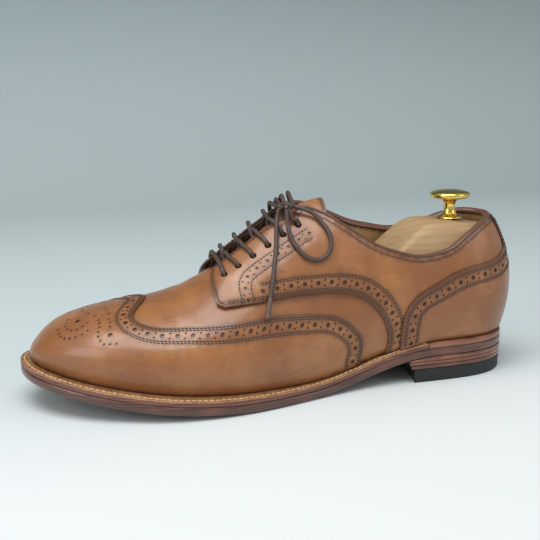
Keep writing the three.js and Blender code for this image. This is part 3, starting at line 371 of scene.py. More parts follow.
def rounded(points, between, least):
    """Smooth line through the points, flat or in space, with so many steps between two."""
    p = np.asarray(points, float)
    p = np.concatenate([[2 * p[0] - p[1]], p, [2 * p[-1] - p[-2]]])
    out = []
    for i in range(1, len(p) - 2):
        k = np.sqrt(np.linalg.norm(np.diff(p[i - 1:i + 3], axis=0), axis=1)) + least
        t = np.concatenate([[0], np.cumsum(k)])
        x = np.linspace(t[1], t[2], between, endpoint=False)[:, None]
        a1 = (t[1] - x) / k[0] * p[i - 1] + (x - t[0]) / k[0] * p[i]
        a2 = (t[2] - x) / k[1] * p[i] + (x - t[1]) / k[1] * p[i + 1]
        a3 = (t[3] - x) / k[2] * p[i + 1] + (x - t[2]) / k[2] * p[i + 2]
        b1 = (t[2] - x) / (t[2] - t[0]) * a1 + (x - t[0]) / (t[2] - t[0]) * a2
        b2 = (t[3] - x) / (t[3] - t[1]) * a2 + (x - t[1]) / (t[3] - t[1]) * a3
        out.append((t[2] - x) / k[1] * b1 + (x - t[1]) / k[1] * b2)
    out.append(p[-2:-1])
    return np.concatenate(out)


def flow(points, step=1.2):
    """Smooth pattern curve through the points, resampled evenly."""
    return spaced(points if len(points) == 2 else rounded(points, 24, 1e-9), step)


def across(curve):
    d = np.gradient(np.asarray(curve, float), axis=0)
    n = np.stack([-d[:, 1], d[:, 0]], 1)
    return n / (np.linalg.norm(n, axis=1, keepdims=True) + 1e-9)


def beside_curve(curve, d):
    return curve + across(curve) * d


def gimp(curve, pitch=2.0, depth=0.75):
    """Saw-toothed copy of an edge: the teeth point away from the panel (to the curve's right)."""
    p = spaced(curve, pitch / 2)
    tooth = np.where(np.arange(len(p)) % 2 == 0, 0.0, -depth)
    tooth[0] = tooth[-1] = 0
    return p + across(p) * tooth[:, None]


def join(*parts):
    p = np.concatenate([np.asarray(x, float) for x in parts])
    keep = np.linalg.norm(p - np.roll(p, 1, axis=0), axis=1) > 0.02
    return p[keep]


# %% [markdown]
# ## Cutting a panel
# A constrained triangulation takes the panel's outline, its stitch lines and its holes, and
# fills the rest with an even mesh. The triangles are then laid on the last twice, once for
# the grain side and once for the flesh side. Depth comes from distance: the surface dips a
# little along each stitch row, rolls over at the cut edge and sinks round each punched hole.

# %% Distances on the pattern
def distance(points, line, closed=False):
    """Distance of each point to a polyline."""
    a = np.asarray(line, float)
    b = np.roll(a, -1, axis=0) if closed else a[1:]
    a = a if closed else a[:-1]
    d = b - a
    best = np.full(len(points), 1e9)
    for start in range(0, len(points), 2000):
        p = points[start:start + 2000, None, :]
        t = clamp(((p - a) * d).sum(2) / ((d * d).sum(1) + 1e-12), 0, 1)
        gap = np.linalg.norm(p - a - t[..., None] * d, axis=2)
        best[start:start + 2000] = gap.min(1)
    return best


def within(points, loop):
    inside = np.zeros(len(points), bool)
    x, y = points[:, 0], points[:, 1]
    for (ax, ay), (bx, by) in zip(loop, np.roll(loop, -1, axis=0)):
        if ay == by:
            continue
        crosses = ((ay > y) != (by > y)) & (x < (bx - ax) * (y - ay) / (by - ay) + ax)
        inside ^= crosses
    return inside


def circle(c, r, n):
    t = np.arange(n) * 2 * np.pi / n
    return np.stack([c[0] + r * np.cos(t), c[1] + r * np.sin(t)], 1)


# %% The panel builder
PIT = 0.8
ROW_DEPTH = 0.22


def triangulate(loop, lines, holes, grid):
    points = [loop]
    edges = []

    def chain(n, start, closed):
        edges.extend((start + i, start + (i + 1) % n) for i in range(n if closed else n - 1))

    chain(len(loop), 0, True)
    count = len(loop)
    for c, r in holes:
        ring = circle(c, r, 12 if r > 0.8 else 7)
        chain(len(ring), count, True)
        points.append(ring)
        count += len(ring)
    for line in lines:
        kept = line[within(line, loop) & (distance(line, loop, True) > 0.25)]
        points.append(kept)
        count += len(kept)
    lo, hi = loop.min(0), loop.max(0)
    rise = grid * 0.866
    rows = np.arange(lo[1] + rise * 0.5, hi[1], rise)
    filler = []
    for i, y in enumerate(rows):
        x = np.arange(lo[0] + (i % 2) * grid / 2 + 0.01 * i, hi[0], grid)
        filler.append(np.stack([x, np.full(len(x), y)], 1))
    filler = np.concatenate(filler)
    filler = filler[within(filler, loop)]
    filler = filler[distance(filler, loop, True) > grid * 0.4]
    for line in lines:
        filler = filler[distance(filler, line) > grid * 0.4]
    if holes:
        c = np.array([h[0] for h in holes])
        r = np.array([h[1] for h in holes])
        near = (np.linalg.norm(filler[:, None] - c[None], axis=2) - r[None]).min(1)
        filler = filler[near > grid * 0.3]
    points.append(filler)
    flat = np.concatenate(points)
    out = delaunay_2d_cdt([Vector(p) for p in flat.tolist()], edges, [], 0, 1e-5)
    verts = np.array([tuple(v) for v in out[0]])
    tris = np.array([f for f in out[2] if len(f) == 3])
    return verts, tris


def turned_area(verts, tris):
    a, b = verts[tris[:, 1]] - verts[tris[:, 0]], verts[tris[:, 2]] - verts[tris[:, 0]]
    return a[:, 0] * b[:, 1] - a[:, 1] * b[:, 0]


def panel(name, loop, lay, over, thick, lines=(), holes=(), grid=2.4, roll=0.4, weld=False,
          through=()):
    """Object for one piece of leather. over is the height of its grain side over the last."""
    loop = np.asarray(loop, float)
    lines = [np.asarray(x, float) for x in lines]
    verts, tris = triangulate(loop, lines, list(holes) + list(through), grid)
    mid = verts[tris].mean(1)
    kept = within(mid, loop)
    for c, r in through:
        kept &= np.linalg.norm(mid - c, axis=1) > r * 0.97
    tris = tris[kept]
    tris = tris[np.abs(turned_area(verts, tris)) > 1e-7]
    facing_out = turned_area(verts, tris) * (1 if lay is over_heel else -1) > 0
    tris = np.where(facing_out[:, None], tris, tris[:, ::-1])
    used = np.unique(tris)
    remap = np.full(len(verts), -1)
    remap[used] = np.arange(len(used))
    verts, tris = verts[used], remap[tris]
    mid = verts[tris].mean(1)
    rim = distance(verts, loop, True)
    if weld:
        rim = distance(verts, loop[loop[:, 0] < A_MAX - 0.01])
    dip = roll * clamp(1 - rim / 0.6, 0, 1) ** 2
    rows = np.full(len(verts), 99.0)
    for line in lines:
        rows = np.minimum(rows, distance(verts, line))
    dip = dip + ROW_DEPTH * clamp(1 - rows / 0.9, 0, 1)
    punched = np.full(len(verts), 99.0)
    in_hole = np.zeros(len(tris), int) - 1
    for k, (c, r) in enumerate(holes):
        d = np.linalg.norm(verts - c, axis=1) - r
        punched = np.minimum(punched, d)
        in_hole[np.linalg.norm(mid - c, axis=1) < r * 0.97] = k
    dip = dip + 0.12 * clamp(1 - punched / 0.8, 0, 1)
    top, normal = on_last(verts, lay, over)
    top = top - normal * dip[:, None]
    low, _ = on_last(verts, lay, over)
    low = low - normal * thick
    n = len(verts)
    outer = tris[in_hole < 0]
    faces = outer.tolist() + (tris[:, ::-1] + n).tolist()
    slots = [0] * len(outer) + [0] * len(tris)
    points = [top, low]
    count = 2 * n
    for k, (c, r) in enumerate(holes):
        inner = tris[in_hole == k]
        if not len(inner):
            continue
        ids = np.unique(inner)
        new = {int(v): count + i for i, v in enumerate(ids)}
        points.append(on_last(verts[ids], lay, over)[0] - normal[ids] * min(PIT, thick * 0.8))
        count += len(ids)
        faces.extend([[new[int(v)] for v in t] for t in inner])
        slots.extend([1] * len(inner))
        for a, b in open_edges(inner):
            faces.append([b, a, new[a], new[b]][::-1])
            slots.append(1)
    for a, b in open_edges(tris):
        if not (weld and verts[a, 0] > A_MAX - 0.01 and verts[b, 0] > A_MAX - 0.01):
            faces.append([b, a, a + n, b + n])
            slots.append(2)
    fade = np.exp(-np.minimum(rim, 40) / 0.9)
    dark = np.concatenate([fade, fade, np.ones(count - 2 * n)])
    near_rows_and_holes = clamp(1 - np.minimum(rows, punched + 0.3) / 0.65, 0, 1)
    groove = np.concatenate([near_rows_and_holes, near_rows_and_holes, np.ones(count - 2 * n)])
    return make_mesh(name, to_frame(np.concatenate(points)), faces, slots,
                     {"rim": dark, "groove": groove}, weld)


def open_edges(tris):
    seen = {}
    for t in tris.tolist():
        for a, b in ((t[0], t[1]), (t[1], t[2]), (t[2], t[0])):
            if (b, a) in seen:
                del seen[(b, a)]
            else:
                seen[(a, b)] = True
    return list(seen)


def ring_faces(rings, around):
    """Quads between rings of points that follow one another."""
    return [[i * around + j, i * around + (j + 1) % around,
             (i + 1) * around + (j + 1) % around, (i + 1) * around + j]
            for i in range(rings - 1) for j in range(around)]


def end_faces(rings, around):
    """Fans that close the first and the last ring, with their middle points listed last."""
    start, m = (rings - 1) * around, rings * around
    return ([[(j + 1) % around, j, m] for j in range(around)]
            + [[start + j, start + (j + 1) % around, m + 1] for j in range(around)])


def make_mesh(name, points, faces, slots=None, values=None, weld=False, sharp=38):
    mesh = bpy.data.meshes.new(name)
    mesh.from_pydata([tuple(p) for p in np.asarray(points).tolist()], [], faces)
    if slots is not None:
        mesh.polygons.foreach_set("material_index", slots)
    for key, data in (values or {}).items():
        layer = mesh.attributes.new(key, "FLOAT", "POINT")
        layer.data.foreach_set("value", np.asarray(data, np.float32))
    if weld:
        bm = bmesh.new()
        bm.from_mesh(mesh)
        bmesh.ops.remove_doubles(bm, verts=bm.verts, dist=0.00002)
        bm.to_mesh(mesh)
        bm.free()
    mesh.polygons.foreach_set("use_smooth", [True] * len(mesh.polygons))
    mesh.set_sharp_from_angle(angle=math.radians(sharp))
    mesh.update()
    obj = bpy.data.objects.new(name, mesh)
    scene.collection.objects.link(obj)
    return obj


def facing_outwards(obj, sharp=38):
    bm = bmesh.new()
    bm.from_mesh(obj.data)
    bmesh.ops.recalc_face_normals(bm, faces=bm.faces)
    bm.to_mesh(obj.data)
    bm.free()
    obj.data.set_sharp_from_angle(angle=math.radians(sharp))
    return obj


# %% [markdown]
# ## Round things along a path
# Laces, piping, thread and the tree's tube are all a round section carried along a smooth
# path. A curve object would do, but a mesh tube lets the radius follow the braid of a waxed
# cord, so the weave is in the shape and not only in the finish.

# %% Tubes
def smooth_path(points, step):
    """Smooth 3-D line through the points, resampled evenly."""
    p = rounded(points, 30, 1e-6)
    run = lengths(p)
    return at_lengths(np.linspace(0, run[-1], max(3, int(run[-1] / step) + 1)), run, p)


def path_length(p):
    return float(np.linalg.norm(np.diff(p, axis=0), axis=1).sum())


def carried_frames(p):
    """Tangent and two sideways directions along a path, carried without twist."""
    t = np.gradient(p, axis=0)
    t /= np.linalg.norm(t, axis=1, keepdims=True)
    side = np.cross(t[0], (0.1, 0.2, 1.0))
    sides = []
    for k in range(len(p)):
        side = side - t[k] * side.dot(t[k])
        side /= np.linalg.norm(side)
        sides.append(side)
    sides = np.array(sides)
    return t, sides, np.cross(t, sides)


def tube_parts(p, radius, around=12, braid=0.0, caps=True, pitch=5.2):
    """Points (mm) and faces of a round bar along p. radius may be a list along it."""
    t, a, b = carried_frames(p)
    n = len(p)
    r = np.broadcast_to(np.asarray(radius, float), n)[:, None]
    w = np.arange(around)[None] * 2 * np.pi / around
    turn = 2 * np.pi * lengths(p)[:, None] / pitch * 4
    weave = np.maximum(np.sin(4 * w + turn), np.sin(4 * w - turn))
    r = r * (1 + braid * (weave - 0.6))
    out = np.cos(w)[..., None] * a[:, None] + np.sin(w)[..., None] * b[:, None]
    points = (p[:, None] + r[..., None] * out).reshape(-1, 3)
    faces = ring_faces(n, around)
    if caps:
        points = np.concatenate([points, p[:1], p[-1:]])
        m = n * around
        for q in range(around):
            faces.append([(q + 1) % around, q, m])
            faces.append([m - around + q, m - around + (q + 1) % around, m + 1])
    return points, faces


def tube(name, p, radius, around=12, braid=0.0, pitch=5.2):
    points, faces = tube_parts(p, radius, around, braid, True, pitch)
    return make_mesh(name, to_frame(points), faces)


def merged(name, parts, sharp=50):
    points, faces, count = [], [], 0
    for p, f in parts:
        points.append(p)
        faces.extend([[v + count for v in face] for face in f])
        count += len(p)
    return make_mesh(name, to_frame(np.concatenate(points)), faces, sharp=sharp)


# %% [markdown]
# ## The lace's route
# One waxed cord starts as a bar at the lowest pair of eyelets, crosses over itself up the
# facings and ends in a bow: two loops and two ends that fall to the sides. The loops and the
# ends are free cords, so their lengths and the place where they leave the knot are stated.

# %% Points off the upper
LACE, CORD_STEP, CORD_SIDES, BRAID = 1.3, 0.42, 14, 0.07
EYELETS = ((182.1, 19.8), (173.7, 19.6), (164.8, 19.0), (155.9, 18.2), (146.8, 16.8), (137.5, 15.4))
FACING_Y, FACING_FRONT, FACING_BACK = 8.0, 187.5, 142.5
VAMP = -1.65
LINING = -4.75


def facing_lift(p):
    x, y = p[:, 0], np.abs(p[:, 1])
    return 3.3 * smooth((46 - y) / 24) * smooth((x + 60) / 30) * smooth((62 - x) / 30)


def back_sink(p):
    return -1.5 * smooth((p[:, 0] - 76) / 22)


def quarter_height(p):
    return facing_lift(p) + back_sink(p)


def above(s, y, t):
    side = -1 if y < 0 else 1
    a, g = crest(side, s) if abs(y) < 0.3 else beside(side, s, abs(y))
    return on_last([(side * a, g)], over_heel, t)[0][0]


def resting(s, y, more=0.0):
    side = -1 if y < 0 else 1
    a, g = beside(side, s, abs(y))
    return on_last([(side * a, g)], over_heel, lambda p: facing_lift(p) + LACE + 0.45 + more)[0][0]


KNOT = above(141.0, -8.0, 7.4)


def near(dx, dy, dz):
    return KNOT + np.array([dx, dy, dz])


# %% Through the eyelets
UNDER, HIGH, LOW = -1.2, 1.8, -0.95


def dive(k, side, lean=0.0):
    """Over a facing, down through its eyelet and in under it; lean slants the visible part."""
    s, y = EYELETS[k]
    steps = ((1.9 * lean, y - 7.6, 4.95), (lean, y - 4.2, 4.95), (0.3 * lean, y - 1.4, 4.7),
             (0, y - 0.1, 2.8), (0, y - 0.1, 0.6), (-0.2 * lean, y - 1.5, -0.85),
             (-0.5 * lean, y - 5, UNDER))
    return [above(s + ds, side * dy, t) for ds, dy, t in steps]


def crossing(k, side, middle):
    """From over one facing's edge, across the gap, to under the other facing one hole in front."""
    start, step = EYELETS[k][0], EYELETS[k - 1][0] - EYELETS[k][0]
    steps = ((0.40, 7.2, 4.9), (0.47, 5.5, 3.7), (0.55, 2.8, middle + 0.35 * (2.4 - middle)),
             (0.62, 0.0, middle), (0.70, -3.4, middle + 0.35 * (UNDER - middle)),
             (0.80, -7.4, UNDER))
    return [above(start + share * step, side * y, t) for share, y, t in steps]


def lacing():
    path = [above(140.6, -12.8, 6.2), above(139.6, -13.4, 5.6), *dive(5, -1)[2:]]
    path += [above(139.6, -7, UNDER - 0.3), above(142, 0, -1.7), above(144.4, 7, UNDER - 0.3)]
    side = 1
    for k in (4, 3, 2, 1):
        path += dive(k, side, 1.5)[::-1] + crossing(k, side, LOW)
        side = -side
    bar = [above(182.4, side * 6.5, 4.9), above(182.4, -side * 6.5, 4.9)]
    path += dive(0, side)[::-1] + bar + dive(0, -side)
    for k in (1, 2, 3, 4):
        path += crossing(k, side, HIGH)[::-1] + dive(k, side, 1.5)
        side = -side
    path += [above(144.6, -7, UNDER), above(142, 0, 1.1), above(139.4, 7, UNDER)]
    path += dive(5, 1)[2:][::-1] + [above(139, 10.4, 5.4), above(140, 3, 5.6), near(0.4, 5, -0.6)]
    return path


# %% Routes of the bow
def route(*points):
    return [near(*p[1:]) if p[0] == "near" else resting(*p) for p in points]


LOOP_LATERAL = route(("near", 4.8, -0.6, 0.8), (132, -11.6, 1.6), (128, -14, 0.8), (124.6, -17.4),
                     (122, -20.4), (121, -22.8), (121.6, -25), (124, -26.6), (128.6, -27.6),
                     (133.6, -27.4), (137.6, -26.2), (140.6, -24), (143, -20.6, 0.2),
                     (143.4, -16.8, 1.6), (143, -14.4, 2.6), ("near", -1.4, -4.8, 0))
LOOP_MEDIAL = route(("near", 4.7, 1.6, 1), (136.2, 4, 0.3), (134.4, 9, 0.2), (132, 13.4, 0.1),
                    (129.8, 17), (128.8, 20), (129.6, 22.6), (132, 24), (134.8, 23.4), (137, 21.2),
                    (138.8, 18.4, 0.1), (140.2, 15, 0.2), (141.6, 10.6, 0.3), (142.6, 5, 0.4),
                    ("near", -2, 5.2, 0.2))
END_LATERAL = route(("near", -4.9, -1.8, 0.4), (147, -10.6, 3.2), (148.8, -14, 3.1),
                    (150.6, -17.8, 1.4), (152.4, -21.8, 0.3), (154.6, -26), (156.8, -30.2),
                    (159, -34), (160.8, -37.2))
END_MEDIAL = route(("near", -4.7, 2.2, 0.4), (146.4, 4, 0.8), (145.9, 8, 0.5), (145.1, 12, 0.3),
                   (144.2, 16, 0.2), (144, 19.6), (145.8, 22.6), (149, 25.2), (153, 27.4),
                   (157.4, 29.9))
AGLET_LATERAL = route((160.7, -37.0, 0.0), (161.3, -38, 0.1), (162.6, -40.2, 0.2),
                      (163.8, -42.2, 0.3))
AGLET_MEDIAL = route((157.3, 29.8, 0.0), (157.9, 30.2, 0.1), (159.1, 30.9, 0.2), (160.4, 31.7, 0.3))

# %% Free cords of the bow
def stands_for(piece, node, body="shoe"):
    """The piece takes the place of a solid and rides with a body."""
    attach(piece, body)
    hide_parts(*([node] if isinstance(node, str) else node))
    return piece


CORDS, TIPS = {}, {}


def free_cord(name, points, tip=None):
    p = smooth_path(points, CORD_STEP)
    piece = stands_for(tube(name + "_cord", p, LACE, CORD_SIDES, BRAID), name)
    CORDS[name] = piece
    print(name, round(path_length(p), 1), "mm")


def lace_tip(name, points):
    p = smooth_path(points, 0.3)
    r = np.full(len(p), 1.42)
    r[0], r[-1], r[-2] = 1.3, 0.75, 1.22
    piece = stands_for(tube(name + "_tip", p, r, 16), name)
    TIPS[name] = piece
    return piece


free_cord("lace_loop_lateral", LOOP_LATERAL)
free_cord("lace_loop_medial", LOOP_MEDIAL)
free_cord("lace_end_lateral", END_LATERAL, lace_tip("aglet_lateral", AGLET_LATERAL))
free_cord("lace_end_medial", END_MEDIAL, lace_tip("aglet_medial", AGLET_MEDIAL))

# %% The threaded lace
threaded = tube("lace_threaded_cord", smooth_path(lacing(), CORD_STEP), LACE, CORD_SIDES, BRAID)
stands_for(threaded, "lace_threaded")
print("threaded lace has", len(threaded.data.vertices), "points")

# %% [markdown]
# The knot of the bow is two turns of the cord round five strands: three that carry the loops
# and the ends through it, and two short ones that bring in the threaded lace.

# %% The knot
def wrap(tilt, spin, wide, tall, lift=0.0, turns=1.0, start=0.0):
    t = start + np.linspace(0, 2 * np.pi * turns, 60)
    ring = np.stack([0.9 * np.sin(t * 0.5) * spin, wide * np.cos(t), tall * np.sin(t)], 1)
    c, s = math.cos(tilt), math.sin(tilt)
    ring = ring @ np.array([(c, s, 0), (-s, c, 0), (0, 0, 1)])
    return KNOT + ring + (0, 0, 0.6 + lift)


def about_knot(*steps):
    return [near(*step) for step in steps]


def knot_strands():
    strands = [
        wrap(0.35, 1.0, 2.5, 2.2),
        wrap(1.0, -1.2, 2.7, 2.0, 0.3),
        about_knot((4.8, -0.6, 0.8), (2.4, 0.4, 2.2), (-0.4, 1.4, 2.6), (-2.8, 2.0, 1.6),
                   (-4.7, 2.2, 0.4)),
        about_knot((4.7, 1.6, 1), (2.4, 0.9, 0.6), (0.2, -0.2, 0.2), (-2.6, -1.2, 0.6),
                   (-4.9, -1.8, 0.4)),
        about_knot((-1.4, -4.8, 0), (-0.8, -2.4, 2.0), (0.0, 0, 3.0), (-1.0, 2.8, 2.0),
                   (-2, 5.2, 0.2)),
        [above(140.6, -12.8, 6.2), *about_knot((0.8, -3.0, -1.2), (0.6, -1.0, -0.6))],
        about_knot((0.4, 5, -0.6), (0.5, 3.0, -0.8), (0.6, 1.0, -0.6)),
    ]
    return [tube_parts(smooth_path(p, CORD_STEP), LACE, CORD_SIDES, BRAID) for p in strands]


knot = merged("lace_knot_cord", knot_strands(), sharp=70)
stands_for(knot, "lace_knot")
print("knot strands:", len(knot_strands()))

# %% [markdown]
# ## Edges of the pattern
# The edges come from a handful of marks: a distance forward from the heel and a height on the
# finished shoe. The wing, the quarters and the counter have a gimped edge with a row of
# punching behind it: a large hole, a pair of small ones, and so on, between stitch rows.

# %% Marks of each edge
def wing_marks(side):
    return [foot(side, 104.8), mark(side, 103.7, 30.9), mark(side, 110.6, 40.7),
            mark(side, 120.1, 47.1), mark(side, 139.3, 50.4), mark(side, 167, 51.1),
            mark(side, 202.1, 49.4), mark(side, 228.1, 49.7), mark(side, 235.8, 52.7),
            crest(side, 226.7)]


def quarter_low_marks(side):
    return [foot(side, 89.4), mark(side, 87.6, 28.6), mark(side, 90.3, 39.3),
            mark(side, 96.1, 48.9), mark(side, 105.4, 56.3), mark(side, 119.8, 60),
            mark(side, 138.7, 60.5), mark(side, 165.9, 58.7), mark(side, 186, 56.9)]


def facing_front_marks(side):
    return [mark(side, 186, 56.9), mark(side, 190, 58.5), beside(side, 190.5, 30),
            beside(side, 190, 16), beside(side, FACING_FRONT, FACING_Y)]


def topline_marks(side):
    """The topline is cut lower on the outer side, clear of the ankle bone."""
    rise = 1.0 if side > 0 else 0.0
    return [beside(side, 139.5, FACING_Y + 3), mark(side, 133.4, 105.4),
            mark(side, 123.2, 102.8 + rise), mark(side, 110.1, 95.3 + 3.5 * rise),
            mark(side, 93.9, 85.6 + 7 * rise), mark(side, 82.4, 81.0 + 8.5 * rise),
            mark(side, 65.8, 77.2 + 9 * rise), mark(side, 47.2, 80 + 8.5 * rise),
            mark(side, 34.5, 87.2 + 6.5 * rise), mark(side, 20, 94.5 + 3.5 * rise),
            (0.0, mark(-1, 8.4, 97.8)[1])]


def counter_marks(side):
    return [foot(side, 79.5), mark(side, 79.2, 36), mark(side, 77, 45.5), mark(side, 70, 54),
            mark(side, 58, 60), mark(side, 42, 67), rear(side, 26, 72), rear(side, 21.5, 74),
            rear(side, 15, 76.5), rear(side, 11, 80), rear(side, 10, 86), rear(side, 10, 96)]


# %% Rows of holes and stitches
BIG, SMALL = 1.3, 0.6


def trimmed(curve, start, end):
    run = lengths(curve)
    n = max(2, int((run[-1] - start - end) / 1.2))
    return at_lengths(np.linspace(start, run[-1] - end, n), run, curve)


def punching(curve, pitch=8.6, big=BIG, small=SMALL, spread=1.5):
    """Large holes along the curve with a pair of small ones between them."""
    run = lengths(curve)
    n = int(round(run[-1] / pitch))
    at = np.arange(2 * n + 1) * (run[-1] / n) / 2
    centres, sideways = at_lengths(at, run, curve), at_lengths(at, run, across(curve))
    holes = []
    for k, (c, w) in enumerate(zip(centres, sideways)):
        if k % 2 == 0:
            holes.append((c, big))
        else:
            holes += [(c + w * spread, small), (c - w * spread, small)]
    return holes


STITCHES = []


def stitch(curve, lay, height, pitch=2.1, thread=0.27, colour="thread"):
    """Lay a row of short stitches on a pattern curve."""
    p = spaced(curve, pitch / 6)
    top, n = on_last(p, lay, height)
    STITCHES.append((top, n, pitch, thread, colour))


def stitch_mesh(name, rows):
    around, stations = 6, 5
    t = np.linspace(-1, 1, stations)
    parts, faces, count = [], [], 0
    base = ring_faces(stations, around)
    base.append(list(range(around))[::-1])
    base.append(list(range((stations - 1) * around, stations * around)))
    for top, n, pitch, thread, _ in rows:
        d = lengths(top)
        m = max(1, int(round(d[-1] / pitch)))
        mid = (np.arange(m) + 0.5) * d[-1] / m
        c, z = at_lengths(mid, d, top), at_lengths(mid, d, n)
        x = at_lengths(mid + 0.2, d, top) - at_lengths(mid - 0.2, d, top)
        x /= np.linalg.norm(x, axis=1, keepdims=True) + 1e-9
        y = np.cross(z, x)
        half = d[-1] / m * 0.40
        w = np.arange(around) * 2 * np.pi / around
        r = thread * np.sqrt(np.maximum(1 - (np.abs(t) * 0.93) ** 3, 0.02))
        lift = thread * 0.35 - 0.22 * np.abs(t) ** 2.5
        local = (c[:, None, None] + (t * half)[None, :, None, None] * x[:, None, None]
                 + (r[:, None] * np.cos(w))[None, ..., None] * y[:, None, None]
                 + (r[:, None] * np.sin(w) + lift[:, None])[None, ..., None] * z[:, None, None])
        local = local.reshape(m, -1, 3)
        for k in range(m):
            faces.extend([[v + count for v in face] for face in base])
            count += stations * around
        parts.append(local.reshape(-1, 3))
    return make_mesh(name, to_frame(np.concatenate(parts)), faces, sharp=60)


# %% [markdown]
# ## The wing cap
# The cap covers the toe and runs back along both sides to the waist. It is the top layer
# here, so it stands proud of the vamp by its own thickness. On the toe there is a medallion:
# curved rows of small holes and four large ones, the same on both sides of the ridge.

# %% The medallion
DOT = 0.66
CURLS = (
    (((34.5, 14.5), (36, 22), (42, 27.5), (49, 28.7), (53, 27)), 8),
    (((42, 8), (39.5, 15), (43.5, 22), (50, 22), (53.5, 20)), 8),
    (((60, 20.5), (60.4, 26), (58.6, 34), (61.5, 41), (68.5, 43.5)), 9),
    (((66, 22.5), (66.5, 26.5), (66, 30)), 3),
    (((51, 2.2), (55, 9), (58, 14)), 3),
    (((64.5, 6), (65.5, 11), (66, 16)), 3),
)


def medallion():
    """Holes on the toe: distances back from the tip and out from the ridge, on both sides."""
    holes = [((A_MAX - 47.5, side * 14.5), 1.4) for side in (-1, 1)]
    holes += [((A_MAX - 65.5, side * 36.5), 1.4) for side in (-1, 1)]
    for marks, count in CURLS:
        line = flow([np.array(m, float) for m in marks], 0.3)
        run = lengths(line)
        dots = at_lengths(np.linspace(0, run[-1], count), run, line)
        holes += [((A_MAX - back, side * out), DOT) for side in (-1, 1) for back, out in dots]
    return [(np.array(c), r) for c, r in holes]


def spread_out(holes, gap=0.45):
    kept = []
    for c, r in holes:
        if all(np.linalg.norm(c - k) > r + q + gap for k, q in kept):
            kept.append((c, r))
    return kept


# %% Cutting the wing cap
def mirrored_edge(marks):
    """One curve over the ridge from the lateral marks, the ridge and the medial marks."""
    lateral = ridge_up(-1, marks(-1))
    medial = ridge_up(1, marks(1))
    return flow(lateral + medial[::-1][1:], 1.0)


def along_foot(side, s0, s1, step=2.5):
    a0, a1 = foot(side, s0)[0], (A_MAX if s1 is None else foot(side, s1)[0])
    a = np.linspace(a0, a1, max(2, int(abs(a1 - a0) / step)))
    return np.stack([a, side * girth(side, a)], 1)


def toe_tip():
    g = float(girth(1, A_MAX))
    return np.stack([np.full(7, A_MAX), np.linspace(g, -g, 7)], 1)


wing_edge = mirrored_edge(wing_marks)
ROW_1, ROW_2, HOLES_AT, ROW_3, ROW_4 = 1.7, 2.9, 6.0, 9.2, 10.4


def band(curve, inward):
    """Stitch rows and holes set in from an edge; inward is +1 or -1 across the curve."""
    rows = [beside_curve(curve, inward * d) for d in (ROW_1, ROW_2, ROW_3, ROW_4)]
    return rows, punching(trimmed(beside_curve(curve, inward * HOLES_AT), 3.0, 3.0))


def inner_side(curve, loop, d=3.0):
    """+1 or -1: the side of the curve that lies inside the loop."""
    return 1 if within(beside_curve(curve, d), loop).mean() > 0.5 else -1


def well_inside(holes, loop, margin=2.0):
    return [(c, r) for c, r in holes
            if within(c[None], loop)[0] and distance(c[None], loop, True)[0] > margin]


def make_wing():
    plain = join(wing_edge, along_foot(1, 104.8, None)[1:], toe_tip()[1:],
                 along_foot(-1, 104.8, None)[::-1][1:-1])
    inward = inner_side(wing_edge, plain)
    loop = join(gimp(wing_edge, depth=-inward * 0.75), plain[len(wing_edge):])
    rows, holes = band(wing_edge, inward)
    rows = [r[within(r, loop)] for r in rows]
    holes = well_inside(holes, loop)
    holes += spread_out(medallion())
    piece = panel("wing_cap_leather", loop, over_ridge, 0.0, 1.2, rows, holes, weld=True)
    for row in rows:
        stitch(row, over_ridge, -0.1)
    return stands_for(piece, "wing_cap")


wing = make_wing()
print("wing cap:", len(wing.data.polygons), "faces")

# %% [markdown]
# ## Vamp and tongue
# The vamp is the layer under the cap and the quarters. It creases where the foot bends, just
# behind the cap. The creases are long shallow folds across the ridge, so they are moved in the
# mesh: a bump alone would not catch the light along its edge.

# %% Folds of the flexing leather
def crease_depth(p):
    """Shallow folds behind the cap, in millimetres, from points on the last."""
    s = HALF - p[:, 0]
    y, z = p[:, 1], p[:, 2]
    total = np.zeros(len(p))
    for at, slant, width, depth, phase in CREASES:
        wander = 1.6 * np.sin(y * 0.11 + phase) + 0.8 * np.sin(y * 0.27 + 2 * phase)
        d = s - at - slant * (y + 20) - wander
        total += depth * np.exp(-(d / width) ** 2) * (0.6 + 0.4 * np.sin(y * 0.09 + 3 * phase))
    return total * smooth((z - 26) / 16)


CREASES = ((196, 0.16, 2.0, 0.42, 0.3), (203, 0.05, 1.7, 0.34, 1.1), (209, -0.10, 2.2, 0.45, 2.2),
           (215.5, 0.08, 1.6, 0.28, 3.6), (190, 0.22, 1.8, 0.22, 4.4), (221, -0.04, 1.4, 0.18, 5.1))


def swell(p):
    """Slow unevenness of stretched leather."""
    s, y, z = HALF - p[:, 0], p[:, 1], p[:, 2]
    a = np.sin(s * 0.071 + z * 0.05) * np.sin(z * 0.093 + 1.3) * 0.20
    b = np.sin(s * 0.152 - z * 0.11 + 0.7) * np.cos(z * 0.15 + y * 0.06) * 0.11
    return (a + b) * smooth((z - 30) / 14)


def vamp_height(p):
    return VAMP - crease_depth(p) + 0.5 * swell(p)


